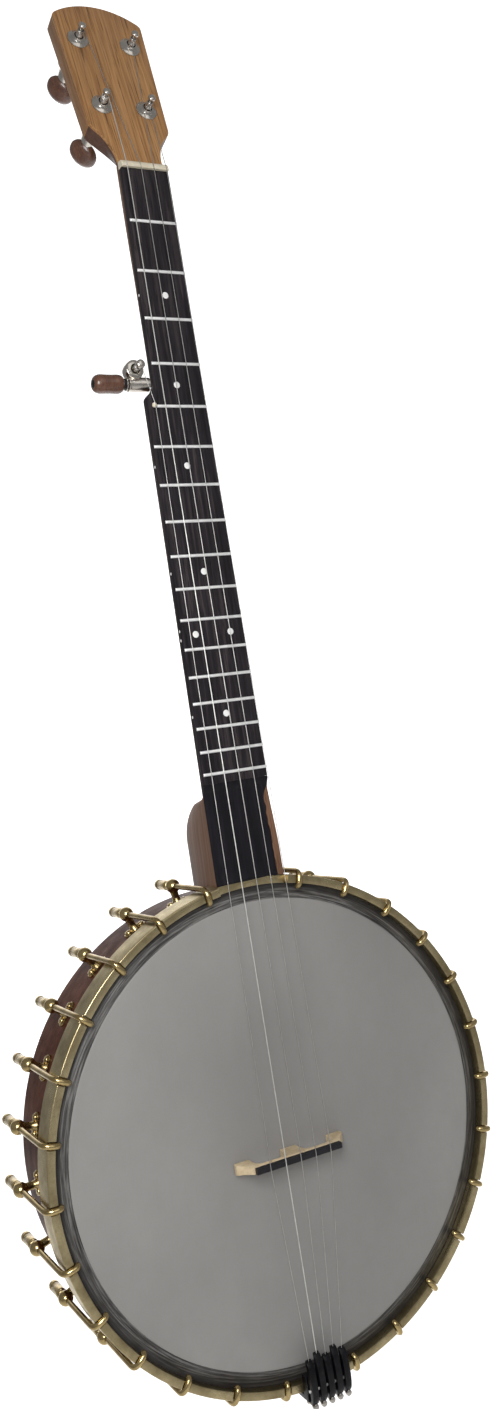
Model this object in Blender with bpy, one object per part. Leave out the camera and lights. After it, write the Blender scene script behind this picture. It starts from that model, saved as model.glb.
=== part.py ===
"""Five-string open-back banjo, built as separate pieces.

Lengths below are in millimetres and are turned into metres when a mesh is made.
The pieces are laid out around the middle of the drum head: +X is the first-string
side, +Y is the back of the banjo and +Z runs up the neck.  The whole model hangs
on an empty, so that the world origin is the place behind the nut, between the
ears of the peghead, where a wall hanger holds the banjo.
"""
import math

import bmesh
import bpy
from mathutils import Matrix, Vector

MM = 0.001
GAP = 0.3                       # clearance between pieces that touch

# Driving dimensions
SCALE_LENGTH = 648.0            # nut to bridge, 25.5 inches
RIM_RADIUS = 152.4              # a 12-inch pot
RIM_WALL = 19.0
RIM_BACK = 74.7                 # Y of the flat back of the rim
POT_STEPS = 84
HOOKS_PER_SIDE = 13
FIRST_HOOK = math.radians(12.2)     # from the neck, round the pot
HOOK_PITCH = math.radians(13.2)
NECK_PITCH = 0.0365             # the neck leans back from the head plane, radians
PEGHEAD_TILT = math.radians(14.0)
FRET_COUNT = 17

# Neck: the fret plane passes over the bridge line at BRIDGE_LINE_Z
BRIDGE_LINE_Z = -9.6
FRET_PLANE_Y = -10.2            # Y of the fret plane above the bridge line
FRET_HEIGHT = 1.0
BOARD_THICKNESS = 4.2
NECK_TOP = FRET_HEIGHT + BOARD_THICKNESS + GAP
SCOOP_START = 236.0             # distance from the bridge line
SCOOP_RAMP = 7.0
SCOOP_DEPTH = 3.2
SCOOP_STRIP = 4.0               # bare wood beside the scooped board, at the right
SHOULDER_START = 490.0          # where the board widens for the fifth string
SHOULDER_END = 499.0
HEEL_START = 230.0
HEEL_LENGTH = 32.0
HEEL_DEPTH = 78.0
HEEL_NARROWING = 0.25           # of its width, halfway down its sides
HEEL_ROUNDNESS = 2.1            # superellipse exponent of its section
BACK_ROUNDNESS = 1.38           # the same, behind the playing length
NUT_ROUNDNESS = 1.83            # the same, near the nut
STRIP_FLARE = 1.9               # how much the wood strip by the scoop stands out
NUT_WIDTH_D = 5.0

# Peghead
PEGHEAD_THICKNESS = 12.5
PEGHEAD_DROP = 4.0              # of its face, under the fret plane at the nut
PEGHEAD_CENTRE = 3.5
PEG_SPOTS = ((-16.2, 111.6), (23.3, 111.7), (-12.6, 54.6), (20.6, 54.4))
PEG_HOLE_RADIUS = 4.3

# Pot metalwork
HOOP_OUTER = 162.9
HOOP_INNER = 157.5
HOOP_FRONT = -4.8
HOOP_BACK = 13.5
HOOP_CUT_HALF = 25.5            # half width of the cut-down stretch at the neck
HOOK_WIRE = 1.9                 # radius
SHOE_RADIUS = 165.5
SHOE_Y = 43.5
NOTCH_HALF = 2.5
NOTCH_FLOOR = -2.2

# Coordinator rod, tailpiece, bridge and strings
ROD_RADIUS = 4.0
ROD_Y = 40.0
FINGER_PITCH = 6.2
FINGER_PIVOT = Vector((0.0, -12.9, -158.0))
FINGER_WIDTH = 4.8
BRIDGE_Z = -15.0
BRIDGE_TOP = -16.0
STRING_RADII = (0.25, 0.25, 0.3, 0.35, 0.25)
STRING_AT_BRIDGE = (22.4, 11.2, 0.0, -11.2, -22.4)
STRING_AT_NUT = (19.0, 9.6, 0.1, -10.0)
FIFTH_PIP = (-17.2, 485.8)      # x and distance from the bridge line
FIFTH_BARREL = Vector((-10.0, 18.6, 491.6))
FIFTH_BARREL_RADIUS = 4.8
FIFTH_PEG = Vector((-10.0, 15.5, 492.0))
FIFTH_POST = Vector((-26.0, 14.0, 500.6))

HANGER = Vector((0.0, 27.0, 664.0))


def material(name, colour, roughness, metallic=0.0):
    mat = bpy.data.materials.new(name)
    mat.use_nodes = True
    shader = mat.node_tree.nodes["Principled BSDF"]
    shader.inputs["Base Color"].default_value = (*colour, 1.0)
    shader.inputs["Roughness"].default_value = roughness
    shader.inputs["Metallic"].default_value = metallic
    return mat


def make_materials():
    return {
        "walnut": material("walnut", (0.11, 0.055, 0.034), 0.45),
        "rim_wood": material("rim_wood", (0.075, 0.030, 0.022), 0.4),
        "board": material("board", (0.022, 0.019, 0.022), 0.5),
        "bone": material("bone", (0.62, 0.55, 0.42), 0.4),
        "brass": material("brass", (0.45, 0.34, 0.16), 0.35, 1.0),
        "nickel": material("nickel", (0.55, 0.54, 0.52), 0.2, 1.0),
        "steel": material("steel", (0.6, 0.6, 0.6), 0.3, 1.0),
        "head_film": material("head_film", (0.25, 0.24, 0.225), 0.6),
        "maple": material("maple", (0.5, 0.4, 0.25), 0.5),
        "black_metal": material("black_metal", (0.008, 0.008, 0.01), 0.35),
        "button": material("button", (0.13, 0.05, 0.03), 0.3),
    }


def clear_scene():
    for obj in list(bpy.data.objects):
        bpy.data.objects.remove(obj, do_unlink=True)


def make_frame():
    frame = bpy.data.objects.new("banjo_frame", None)
    frame.location = -HANGER * MM
    bpy.context.scene.collection.objects.link(frame)
    return frame


def mesh_of(name, points, faces, origin=Vector()):
    """A mesh in metres, about its origin, with its faces turned outwards."""
    mesh = bpy.data.meshes.new(name)
    mesh.from_pydata([(Vector(p) - origin) * MM for p in points], [], faces)
    solid = bmesh.new()
    solid.from_mesh(mesh)
    bmesh.ops.recalc_face_normals(solid, faces=solid.faces)
    solid.to_mesh(mesh)
    solid.free()
    return mesh


def place(name, mesh, mat, frame, origin=Vector(), smooth=True):
    obj = bpy.data.objects.new(name, mesh)
    obj.parent = frame
    obj.location = origin * MM
    bpy.context.scene.collection.objects.link(obj)
    if not mesh.materials:
        mesh.materials.append(mat)
    if smooth:
        mesh.shade_smooth()
        mesh.set_sharp_from_angle(angle=math.radians(35.0))
    return obj


def loft(rings, closed=False):
    """Skin a row of rings with the same number of points; cap the ends unless closed."""
    count = len(rings[0])
    points = [p for ring in rings for p in ring]
    faces = []
    spans = len(rings) if closed else len(rings) - 1
    for i in range(spans):
        a = i * count
        b = ((i + 1) % len(rings)) * count
        for j in range(count):
            k = (j + 1) % count
            faces.append((a + j, a + k, b + k, b + j))
    if not closed:
        faces.append(tuple(reversed(range(count))))
        last = (len(rings) - 1) * count
        faces.append(tuple(range(last, last + count)))
    return points, faces


def turned(profile, steps, centre, axis, side=None, flatten=1.0):
    """Turn a profile of (radius, height) about an axis; its ends have radius zero.

    flatten scales the width across the side direction, for an oval piece.
    """
    axis = Vector(axis).normalized()
    side = Vector(side) if side else axis.orthogonal()
    side = side.normalized()
    across = axis.cross(side) * flatten
    points = [centre + axis * profile[0][1]]
    for radius, height in profile[1:-1]:
        for i in range(steps):
            turn = 2.0 * math.pi * i / steps
            spoke = side * math.cos(turn) + across * math.sin(turn)
            points.append(centre + axis * height + spoke * radius)
    points.append(centre + axis * profile[-1][1])
    faces = []
    for i in range(steps):
        faces.append((0, 1 + i, 1 + (i + 1) % steps))
    for ring in range(len(profile) - 3):
        a = 1 + ring * steps
        for i in range(steps):
            k = (i + 1) % steps
            faces.append((a + i, a + k, a + steps + k, a + steps + i))
    last = len(points) - 1
    a = last - steps
    for i in range(steps):
        faces.append((a + i, last, a + (i + 1) % steps))
    return points, faces


def ring_about_y(section, steps=POT_STEPS):
    """Sweep a closed section of (radius, y) once round the pot's axis."""
    rings = []
    for i in range(steps):
        turn = 2.0 * math.pi * i / steps
        rings.append([Vector((r * math.sin(turn), y, r * math.cos(turn)))
                      for r, y in section])
    return loft(rings, closed=True)


def tube(path, radius, sides):
    """A round bar along a path, its rings turned as little as possible."""
    rings = []
    heading = (path[1] - path[0]).normalized()
    side = heading.orthogonal().normalized()
    for i, point in enumerate(path):
        before = path[max(i - 1, 0)]
        after = path[min(i + 1, len(path) - 1)]
        new_heading = (after - before).normalized()
        side = heading.rotation_difference(new_heading) @ side
        heading = new_heading
        across = heading.cross(side)
        ring = []
        for k in range(sides):
            turn = 2.0 * math.pi * k / sides
            ring.append(point + (side * math.cos(turn) + across * math.sin(turn)) * radius)
        rings.append(ring)
    return loft(rings)


def box(low, high):
    x0, y0, z0 = low
    x1, y1, z1 = high
    base = [(x0, y0), (x1, y0), (x1, y1), (x0, y1)]
    return loft([[Vector((x, y, z)) for x, y in base] for z in (z0, z1)])


def prism(outline, start, end):
    """Extrude a list of points from one offset to another."""
    return loft([[p + offset for p in outline] for offset in (start, end)])


def combined(parts):
    """Several closed shapes in one list of points and faces, for one Boolean tool."""
    points = []
    faces = []
    for part_points, part_faces in parts:
        base = len(points)
        points += part_points
        faces += [tuple(base + i for i in face) for face in part_faces]
    return points, faces


def boolean(mesh, tool_shape, operation):
    """The mesh after one exact Boolean with a shape given as points and faces."""
    body = bpy.data.objects.new("body", mesh)
    tool = bpy.data.objects.new("tool", mesh_of("tool", *tool_shape))
    tool.hide_render = True
    tool.display_type = "WIRE"
    for obj in (body, tool):
        bpy.context.scene.collection.objects.link(obj)
    step = body.modifiers.new("step", "BOOLEAN")
    step.operation = operation
    step.solver = "EXACT"
    step.object = tool
    bpy.context.view_layer.update()
    result = bpy.data.meshes.new_from_object(
        body.evaluated_get(bpy.context.evaluated_depsgraph_get()))
    bpy.data.objects.remove(body, do_unlink=True)
    bpy.data.objects.remove(tool, do_unlink=True)
    return result


# ---------------------------------------------------------------- neck frame

def on_neck(x, distance, below):
    """A point by its distance from the bridge line and its depth under the fret plane."""
    back = math.sin(NECK_PITCH)
    up = math.cos(NECK_PITCH)
    y = FRET_PLANE_Y + distance * back + below * up
    z = BRIDGE_LINE_Z + distance * up - below * back
    return Vector((x, y, z))


def on_peghead(x, u, out):
    """A point by its distance u up the peghead and its height out of the face."""
    lean = NECK_PITCH + PEGHEAD_TILT
    start = on_neck(x, SCALE_LENGTH, PEGHEAD_DROP)
    return start + Vector((0.0, math.sin(lean) * u - math.cos(lean) * out,
                           math.cos(lean) * u + math.sin(lean) * out))


def smooth(t):
    t = min(max(t, 0.0), 1.0)
    return t * t * (3.0 - 2.0 * t)


def right_edge(distance):
    return 25.2 - 0.0064 * distance


def left_edge(distance):
    wide = -right_edge(distance)
    narrow = -18.0 + 0.0065 * distance
    share = smooth((distance - SHOULDER_START) / (SHOULDER_END - SHOULDER_START))
    return wide + (narrow - wide) * share


def heel_share(distance):
    """0 along the neck, rising as a quarter round to 1 where its heel meets the pot."""
    inside = min(max((HEEL_START - distance) / HEEL_LENGTH, 0.0), 1.0)
    return math.sqrt(1.0 - (1.0 - inside) ** 2) * smooth(6.0 * inside)


def neck_depth(distance):
    """Depth of the neck's back under the fret plane, with the heel near the pot."""
    plain = 21.5 + 3.5 * smooth((600.0 - distance) / 350.0)
    return plain + (HEEL_DEPTH - plain) * heel_share(distance)


def neck_ring(distance):
    """The superelliptic outline of the neck, flat on top, at one distance."""
    left = left_edge(distance)
    right = right_edge(distance) + STRIP_FLARE * smooth((SCOOP_START - distance) / 49.0)
    middle = (left + right) / 2.0
    half = (right - left) / 2.0
    drop = neck_depth(distance) - NECK_TOP
    heel = heel_share(distance)
    nearness = smooth((distance - 520.0) / 120.0)
    slim = BACK_ROUNDNESS + (NUT_ROUNDNESS - BACK_ROUNDNESS) * nearness
    power = 2.0 / (slim + (HEEL_ROUNDNESS - slim) * heel)
    ring = []
    arc_steps = 10
    for i in range(arc_steps + 1):
        turn = math.pi * i / arc_steps
        spread = math.copysign(abs(math.cos(turn)) ** power, math.cos(turn))
        narrowing = 1.0 - HEEL_NARROWING * heel * math.sin(turn)
        x = middle + half * spread * narrowing
        sag = max(math.sin(turn), 0.0) ** power
        ring.append(on_neck(x, distance, NECK_TOP + drop * sag))
    return ring


def peghead_outline():
    """Half outline up the right side, mirrored to the left, as (x, u) pairs."""
    side = [(16.6, 7.0), (16.9, 11.0), (17.6, 15.5), (18.9, 20.0), (20.6, 24.5),
            (22.9, 28.6), (25.9, 32.0), (28.6, 35.0), (29.6, 37.0), (30.0, 40.0),
            (33.6, 131.0), (33.3, 132.8), (31.9, 134.6)]
    arch_steps = 8
    corner_x, corner_u = side[-1]
    rise = 10.5
    radius = (corner_x ** 2 + rise ** 2) / (2.0 * rise)
    sweep = math.asin(corner_x / radius)
    arch = []
    for i in range(1, arch_steps):
        turn = sweep * (1.0 - 2.0 * i / arch_steps)
        arch.append((radius * math.sin(turn),
                     corner_u + rise - radius * (1.0 - math.cos(turn))))
    left = [(-x, u) for x, u in reversed(side)]
    return [(PEGHEAD_CENTRE + x, u) for x, u in side + arch + left]


def pot_clearance():
    """The solid round the pot that the neck's heel and the board must stay out of."""
    profile = [(0.0, -40.0), (HOOP_OUTER + GAP, -40.0), (HOOP_OUTER + GAP, HOOP_BACK + GAP),
               (RIM_RADIUS + GAP, HOOP_BACK + GAP), (RIM_RADIUS + GAP, 90.0), (0.0, 90.0)]
    return turned(profile, POT_STEPS, Vector(), (0.0, 1.0, 0.0), side=(0.0, 0.0, 1.0))


def build_neck(mats, frame):
    stations = [150.0, 160.0, 172.0, 184.0, 194.0, 202.0, 209.0, 215.0, 219.5, 223.0,
                225.5, 227.5, 229.0, 230.0, 260.0, 330.0, 400.0, 470.0, 490.0, 492.5,
                494.5, 496.5, 499.0, 540.0, 600.0, 648.0, 656.0]
    mesh = mesh_of("neck", *loft([neck_ring(d) for d in stations]))
    outline = [on_peghead(x, u, 0.0) for x, u in peghead_outline()]
    backwards = on_peghead(0.0, 0.0, -PEGHEAD_THICKNESS) - on_peghead(0.0, 0.0, 0.0)
    mesh = boolean(mesh, prism(outline, Vector(), backwards), "UNION")
    axis = on_peghead(0.0, 0.0, 1.0) - on_peghead(0.0, 0.0, 0.0)
    for x, u in PEG_SPOTS:
        hole = turned([(0.0, -20.0), (PEG_HOLE_RADIUS, -20.0), (PEG_HOLE_RADIUS, 6.0),
                       (0.0, 6.0)], 12, on_peghead(x, u, 0.0), axis)
        mesh = boolean(mesh, hole, "DIFFERENCE")
    bore = FIFTH_BARREL_RADIUS + GAP
    peg_hole = turned([(0.0, -GAP), (bore, -GAP), (bore, 15.0), (0.0, 15.0)], 12,
                      FIFTH_BARREL, (-1.0, 0.0, 0.0))
    mesh = boolean(mesh, peg_hole, "DIFFERENCE")
    mesh = boolean(mesh, pot_clearance(), "DIFFERENCE")
    place("neck", mesh, mats["walnut"], frame)


def board_top(distance):
    """Depth of the board's playing surface under the fret plane."""
    scoop = smooth((SCOOP_START - distance) / SCOOP_RAMP)
    return FRET_HEIGHT + SCOOP_DEPTH * scoop


def board_ring(distance, top, bottom):
    left = left_edge(distance)
    right = right_edge(distance) - SCOOP_STRIP * smooth((SCOOP_START - 4.0 - distance) / 10.0)
    return [on_neck(left, distance, top), on_neck(right, distance, top),
            on_neck(right, distance, bottom), on_neck(left, distance, bottom)]


def fret_distance(number):
    return SCALE_LENGTH * 2.0 ** (-number / 12.0)


def build_fingerboard(mats, frame):
    """The board with its frets standing in it."""
    stations = [150.0, 222.0, 225.0, 229.0, 232.0, 234.0, 236.0, 490.0, 492.5, 494.5,
                496.5, 499.0, SCALE_LENGTH - 0.2]
    rings = [board_ring(d, board_top(d), FRET_HEIGHT + BOARD_THICKNESS) for d in stations]
    mesh = mesh_of("fingerboard", *loft(rings))
    mesh = boolean(mesh, pot_clearance(), "DIFFERENCE")
    half = 1.1
    frets = []
    for number in range(1, FRET_COUNT + 1):
        middle = fret_distance(number)
        bead = []
        for along, below in ((-half, 1.3), (half, 1.3), (half * 0.6, 0.1), (-half * 0.6, 0.1)):
            bead.append((middle + along, below))
        left = FIFTH_PIP[0] + 2.2 if number == 5 else left_edge(middle) + 0.8
        right = right_edge(middle) - 0.3
        frets.append(loft([[on_neck(x, d, below) for d, below in bead]
                           for x in (left, right)]))
    mesh = boolean(mesh, combined(frets), "UNION")
    place("fingerboard", mesh, mats["board"], frame, smooth=False)


def build_nut(mats, frame):
    start = SCALE_LENGTH + 0.1
    end = start + NUT_WIDTH_D
    bottom = FRET_HEIGHT + BOARD_THICKNESS
    ring = [(start, bottom), (end, bottom), (end, 0.6), (start + 1.5, -0.3), (start, -0.3)]
    rings = []
    for x in (left_edge(SCALE_LENGTH) + 0.2, right_edge(SCALE_LENGTH) - 0.2):
        rings.append([on_neck(x, d, below) for d, below in ring])
    place("nut", mesh_of("nut", *loft(rings)), mats["bone"], frame, smooth=False)


# ---------------------------------------------------------------- pot

def build_rim(mats, frame):
    inner = RIM_RADIUS - RIM_WALL
    section = [(inner, RIM_BACK), (RIM_RADIUS, RIM_BACK), (RIM_RADIUS, 5.6),
               (150.2, 2.8), (146.4, 1.4), (143.0, 2.6), (inner, 7.0)]
    place("rim", mesh_of("rim", *ring_about_y(section)), mats["rim_wood"], frame)


def build_head(mats, frame):
    """The stretched head with its crown, collar and the hoop it is bonded into."""
    profile = [(0.0, 0.0), (147.0, 0.0), (149.6, 0.3), (151.8, 1.1), (153.4, 1.9),
               (159.4, 2.0), (159.4, 8.4), (153.2, 8.4), (153.0, 3.0), (150.6, 1.6),
               (147.2, 1.0), (0.0, 1.0)]
    shape = turned(profile, POT_STEPS, Vector(), (0.0, 1.0, 0.0), side=(0.0, 0.0, 1.0))
    place("head", mesh_of("head", *shape), mats["head_film"], frame)


def hook_angles():
    """Clockwise from the neck: down one side to the tailpiece and up the other."""
    right = [FIRST_HOOK + HOOK_PITCH * i for i in range(HOOKS_PER_SIDE)]
    return right + [-turn for turn in reversed(right)]


def build_tension_hoop(mats, frame):
    skirt = HOOP_INNER + 2.3
    lip = 1.6
    chamfer = 0.9
    section = [(HOOP_INNER, HOOP_FRONT), (HOOP_OUTER - chamfer, HOOP_FRONT),
               (HOOP_OUTER, HOOP_FRONT + chamfer), (HOOP_OUTER, HOOP_BACK),
               (skirt, HOOP_BACK), (skirt, lip), (HOOP_INNER, lip)]
    mesh = mesh_of("tension_hoop", *ring_about_y(section))
    cuts = [box((-HOOP_CUT_HALF, -9.0, 140.0), (HOOP_CUT_HALF, 0.0, 175.0))]
    for turn in hook_angles():
        points, faces = box((-NOTCH_HALF, -9.0, 150.0), (NOTCH_HALF, NOTCH_FLOOR, 170.0))
        spin = Matrix.Rotation(turn, 3, "Y")
        cuts.append(([spin @ p for p in points], faces))
    mesh = boolean(mesh, combined(cuts), "DIFFERENCE")
    place("tension_hoop", mesh, mats["brass"], frame)


def bracket_mesh():
    """A hook over the hoop, its shoe on the rim and its nut, at the top of the pot."""
    path = [Vector((0.0, y, r)) for r, y in (
        (155.6, -3.4), (157.4, -4.5), (161.6, -4.6), (164.2, -3.4), (165.4, -0.8),
        (165.5, 14.0), (SHOE_RADIUS, SHOE_Y))]
    mesh = mesh_of("bracket", *tube(path, HOOK_WIRE, 6))
    ball = [(0.0, -5.0), (3.1, -4.2), (4.9, -1.8), (4.9, 1.8), (3.1, 4.2), (0.0, 5.0)]
    centre = Vector((0.0, SHOE_Y, SHOE_RADIUS))
    mesh = boolean(mesh, turned(ball, 8, centre, (0.0, 1.0, 0.0)), "UNION")
    post = box((-2.4, SHOE_Y - 2.4, 154.0), (2.4, SHOE_Y + 2.4, SHOE_RADIUS))
    mesh = boolean(mesh, post, "UNION")
    seat = RIM_RADIUS + GAP
    plate = []
    for x, r in ((-7.4, seat - 0.1), (7.4, seat - 0.1), (6.4, seat + 2.6), (-6.4, seat + 2.6)):
        plate.append(Vector((x, SHOE_Y, r)))
    lobe = Vector((0.0, 3.4, 0.0))
    mesh = boolean(mesh, prism(plate, -lobe, lobe), "UNION")
    nut = [(0.0, 0.0), (3.6, 0.0), (3.6, 19.5), (2.6, 21.0), (0.0, 21.0)]
    mesh = boolean(mesh, turned(nut, 8, Vector((0.0, SHOE_Y + 2.0, SHOE_RADIUS)),
                                (0.0, 1.0, 0.0)), "UNION")
    return mesh


def build_brackets(mats, frame):
    mesh = bracket_mesh()
    for number, turn in enumerate(hook_angles(), start=1):
        obj = place("bracket_%02d" % number, mesh, mats["brass"], frame)
        obj.rotation_euler = (0.0, turn, 0.0)


def build_rod(mats, frame):
    reach = (RIM_RADIUS - RIM_WALL) * math.cos(math.pi / POT_STEPS) - GAP
    flange = 6.5
    profile = [(0.0, -reach), (flange, -reach), (flange, -reach + 5.0),
               (ROD_RADIUS, -reach + 5.0), (ROD_RADIUS, reach - 5.0),
               (flange, reach - 5.0), (flange, reach), (0.0, reach)]
    shape = turned(profile, 12, Vector((0.0, ROD_Y, 0.0)), (0.0, 0.0, 1.0))
    place("coordinator_rod", mesh_of("coordinator_rod", *shape), mats["steel"], frame)


# ---------------------------------------------------------------- tuners

def build_pegs(mats, frame):
    """Four planetary pegs: a fixed housing, a turning post and a turning button."""
    axis = on_peghead(0.0, 0.0, 1.0) - on_peghead(0.0, 0.0, 0.0)
    up = on_peghead(0.0, 1.0, 0.0) - on_peghead(0.0, 0.0, 0.0)
    broad = Vector((1.0, 0.0, 0.0)) - up
    under = -PEGHEAD_THICKNESS - GAP
    bore = 3.1
    housing = [(0.0, -31.6), (4.4, -31.6), (5.0, -30.6), (5.4, -24.0), (8.0, -20.8),
               (8.0, under), (3.9, under), (3.9, GAP), (7.6, GAP), (7.6, 0.9), (5.6, 1.8),
               (4.2, 3.0), (bore, 3.2), (bore, -20.0), (0.0, -20.0)]
    post = [(0.0, -19.6), (2.7, -19.6), (2.7, 3.6), (1.7, 5.6), (1.7, 8.6), (2.6, 10.0),
            (2.6, 11.4), (1.8, 12.2), (0.0, 12.4)]
    button = [(0.0, -31.9), (4.2, -31.9), (4.4, -33.0), (7.8, -35.0), (10.1, -38.2),
              (10.7, -41.6), (10.0, -45.2), (7.2, -48.6), (3.4, -50.2), (0.0, -50.5)]
    for number, (x, u) in enumerate(PEG_SPOTS, start=1):
        spot = on_peghead(x, u, 0.0)
        pieces = (("housing", housing, "nickel", 1.0), ("post", post, "nickel", 1.0),
                  ("button", button, "button", 0.5))
        for piece, profile, finish, flatten in pieces:
            name = "peg_%d_%s" % (number, piece)
            shape = turned(profile, 12, spot, axis, side=broad, flatten=flatten)
            place(name, mesh_of(name, *shape, spot), mats[finish], frame, spot)


def build_fifth_peg(mats, frame):
    """The geared peg in the side of the neck: worm barrel, gear drum, post and button."""
    out = (-1.0, 0.0, 0.0)
    front = (0.0, -1.0, 0.0)
    radius = FIFTH_BARREL_RADIUS
    barrel = [(0.0, 0.0), (radius, 0.0), (radius, 21.0), (0.0, 21.0)]
    bore = 3.1
    drum = [(0.0, -4.5), (6.4, -4.5), (6.4, 4.0), (bore, 4.0), (bore, -2.0), (0.0, -2.0)]
    mesh = mesh_of("fifth_peg_housing", *turned(barrel, 12, FIFTH_BARREL, out), FIFTH_PEG)
    shape = turned(drum, 12, FIFTH_POST, front)
    mesh = boolean(mesh, ([p - FIFTH_PEG for p in shape[0]], shape[1]), "UNION")
    place("fifth_peg_housing", mesh, mats["nickel"], frame, FIFTH_PEG)
    post = [(0.0, -1.6), (2.7, -1.6), (2.7, 4.6), (1.9, 6.6), (1.9, 9.4), (3.0, 11.2),
            (3.0, 12.6), (2.0, 13.6), (0.0, 13.8)]
    shape = turned(post, 12, FIFTH_POST, front)
    place("fifth_peg_post", mesh_of("fifth_peg_post", *shape, FIFTH_POST), mats["nickel"],
          frame, FIFTH_POST)
    button = [(0.0, 21.3), (3.0, 21.3), (3.0, 24.4), (5.0, 25.4), (6.2, 28.2), (6.2, 41.0),
              (5.2, 44.4), (0.0, 45.6)]
    shape = turned(button, 12, FIFTH_PEG, out)
    place("fifth_peg_button", mesh_of("fifth_peg_button", *shape, FIFTH_PEG),
          mats["button"], frame, FIFTH_PEG)


# ---------------------------------------------------------------- tailpiece and bridge

def build_tailpiece(mats, frame):
    top = -10.0
    half = 15.4
    hoop_front = HOOP_FRONT - GAP
    outside = -(HOOP_OUTER + GAP)
    side = [(-150.5, hoop_front), (outside, hoop_front), (outside, 46.0), (-166.4, 46.0),
            (-166.4, top), (-161.0, top), (-159.6, -11.4), (-156.4, -11.4), (-155.0, top),
            (-150.5, top)]
    outline = [Vector((0.0, y, z)) for z, y in side]
    width = Vector((half, 0.0, 0.0))
    mesh = mesh_of("tailpiece_frame", *prism(outline, -width, width))
    waist = 7.0
    sides = [box((-40.0, 2.0, -175.0), (-waist, 60.0, -150.0)),
             box((waist, 2.0, -175.0), (40.0, 60.0, -150.0))]
    mesh = boolean(mesh, combined(sides), "DIFFERENCE")
    stud = turned([(0.0, 0.0), (5.0, 0.0), (5.0, 12.0), (0.0, 12.0)], 12,
                  Vector((0.0, ROD_Y, -(RIM_RADIUS + GAP))), (0.0, 0.0, -1.0))
    mesh = boolean(mesh, stud, "UNION")
    place("tailpiece_frame", mesh, mats["black_metal"], frame, smooth=False)
    for number in range(1, 6):
        build_finger(number, mats, frame)


def finger_x(number):
    """Fingers are numbered like the strings, the first at +X."""
    return (3 - number) * FINGER_PITCH


def finger_tip(number):
    """Tips stand at two lengths in turn."""
    return -137.5 if number % 2 == 0 else -140.5


def build_finger(number, mats, frame):
    tip = finger_tip(number)
    x = finger_x(number)
    half = FINGER_WIDTH / 2.0
    side = [(tip, -10.6), (tip, -12.6), (-144.0, -14.4), (-158.0, -15.6), (-166.0, -14.8),
            (-170.6, -13.0), (-170.6, -4.5), (-167.6, -4.5), (-167.2, -11.6),
            (-158.0, -11.8), (-146.0, -11.4)]
    outline = [Vector((x, y, z)) for z, y in side]
    width = Vector((half, 0.0, 0.0))
    pivot = Vector((x, FINGER_PIVOT.y, FINGER_PIVOT.z))
    name = "tailpiece_finger_%d" % number
    place(name, mesh_of(name, *prism(outline, -width, width), pivot), mats["black_metal"],
          frame, pivot, smooth=False)


def build_bridge(mats, frame):
    """A three-footed bridge, thicker at the feet than at the top."""
    half = [(0.0, -0.4), (6.0, -0.4), (8.0, -4.8), (12.5, -7.6), (17.5, -8.6), (22.5, -7.6),
            (27.0, -4.8), (29.0, -0.4), (40.0, -0.4), (40.0, -3.6), (35.5, -8.6),
            (31.5, BRIDGE_TOP)]
    outline = half + [(-x, y) for x, y in reversed(half[1:])]
    rings = []
    for side in (-1.0, 1.0):
        ring = []
        for x, y in outline:
            thick = 3.6 + 0.11 * y
            ring.append(Vector((x, y, BRIDGE_Z + side * thick)))
        rings.append(ring)
    place("bridge", mesh_of("bridge", *loft(rings)), mats["maple"], frame, smooth=False)


# ---------------------------------------------------------------- strings

def string_route(number):
    """From the tailpiece finger over the bridge and the nut to beside its post."""
    radius = STRING_RADII[number - 1]
    route = [Vector((finger_x(number), -11.6, finger_tip(number) + GAP))]
    over = BRIDGE_TOP - GAP - radius
    at_bridge = STRING_AT_BRIDGE[number - 1]
    route.append(Vector((at_bridge, over, BRIDGE_Z - 1.8)))
    route.append(Vector((at_bridge, over, BRIDGE_Z + 1.8)))
    lift = -GAP - GAP - radius
    if number == 5:
        x, distance = FIFTH_PIP
        route.append(on_neck(x, distance, lift - 0.6))
        aside = Vector((1.9 + GAP + radius, 0.0, 0.0))
        route.append(FIFTH_POST + Vector((0.0, -8.0, 0.0)) + aside)
        return route
    x = STRING_AT_NUT[number - 1]
    route.append(on_neck(x, SCALE_LENGTH + 0.4, lift))
    route.append(on_neck(x, SCALE_LENGTH + 1.6, lift))
    peg_x, peg_u = PEG_SPOTS[(3, 1, 0, 2)[number - 1]]
    inward = math.copysign(1.7 + GAP + radius, PEGHEAD_CENTRE - peg_x)
    route.append(on_peghead(peg_x + inward, peg_u, 7.2))
    return route


def build_strings(mats, frame):
    for number in range(1, 6):
        name = "string_%d" % number
        curve = bpy.data.curves.new(name, "CURVE")
        curve.dimensions = "3D"
        curve.bevel_depth = STRING_RADII[number - 1] * MM
        curve.bevel_resolution = 2
        curve.use_fill_caps = True
        spline = curve.splines.new("POLY")
        route = string_route(number)
        spline.points.add(len(route) - 1)
        for point, place_at in zip(spline.points, route):
            point.co = (*(place_at * MM), 1.0)
        curve.materials.append(mats["steel"])
        obj = bpy.data.objects.new(name, curve)
        obj.parent = frame
        bpy.context.scene.collection.objects.link(obj)


def main():
    clear_scene()
    mats = make_materials()
    frame = make_frame()
    build_neck(mats, frame)
    build_fingerboard(mats, frame)
    build_nut(mats, frame)
    build_rim(mats, frame)
    build_head(mats, frame)
    build_tension_hoop(mats, frame)
    build_brackets(mats, frame)
    build_rod(mats, frame)
    build_pegs(mats, frame)
    build_fifth_peg(mats, frame)
    build_tailpiece(mats, frame)
    build_bridge(mats, frame)
    build_strings(mats, frame)


main()
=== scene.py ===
"""The looks of a five-string open-back banjo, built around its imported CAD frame.

Shapes are laid out in millimetres around the middle of the drum head, as the CAD
was: +X to the first string's side, +Y to the back and +Z up the neck.  put() turns
such a point into metres in the frame's own place, which is read from the rim.
"""
import math

import bmesh
import bpy
from mathutils import Matrix, Vector


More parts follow.
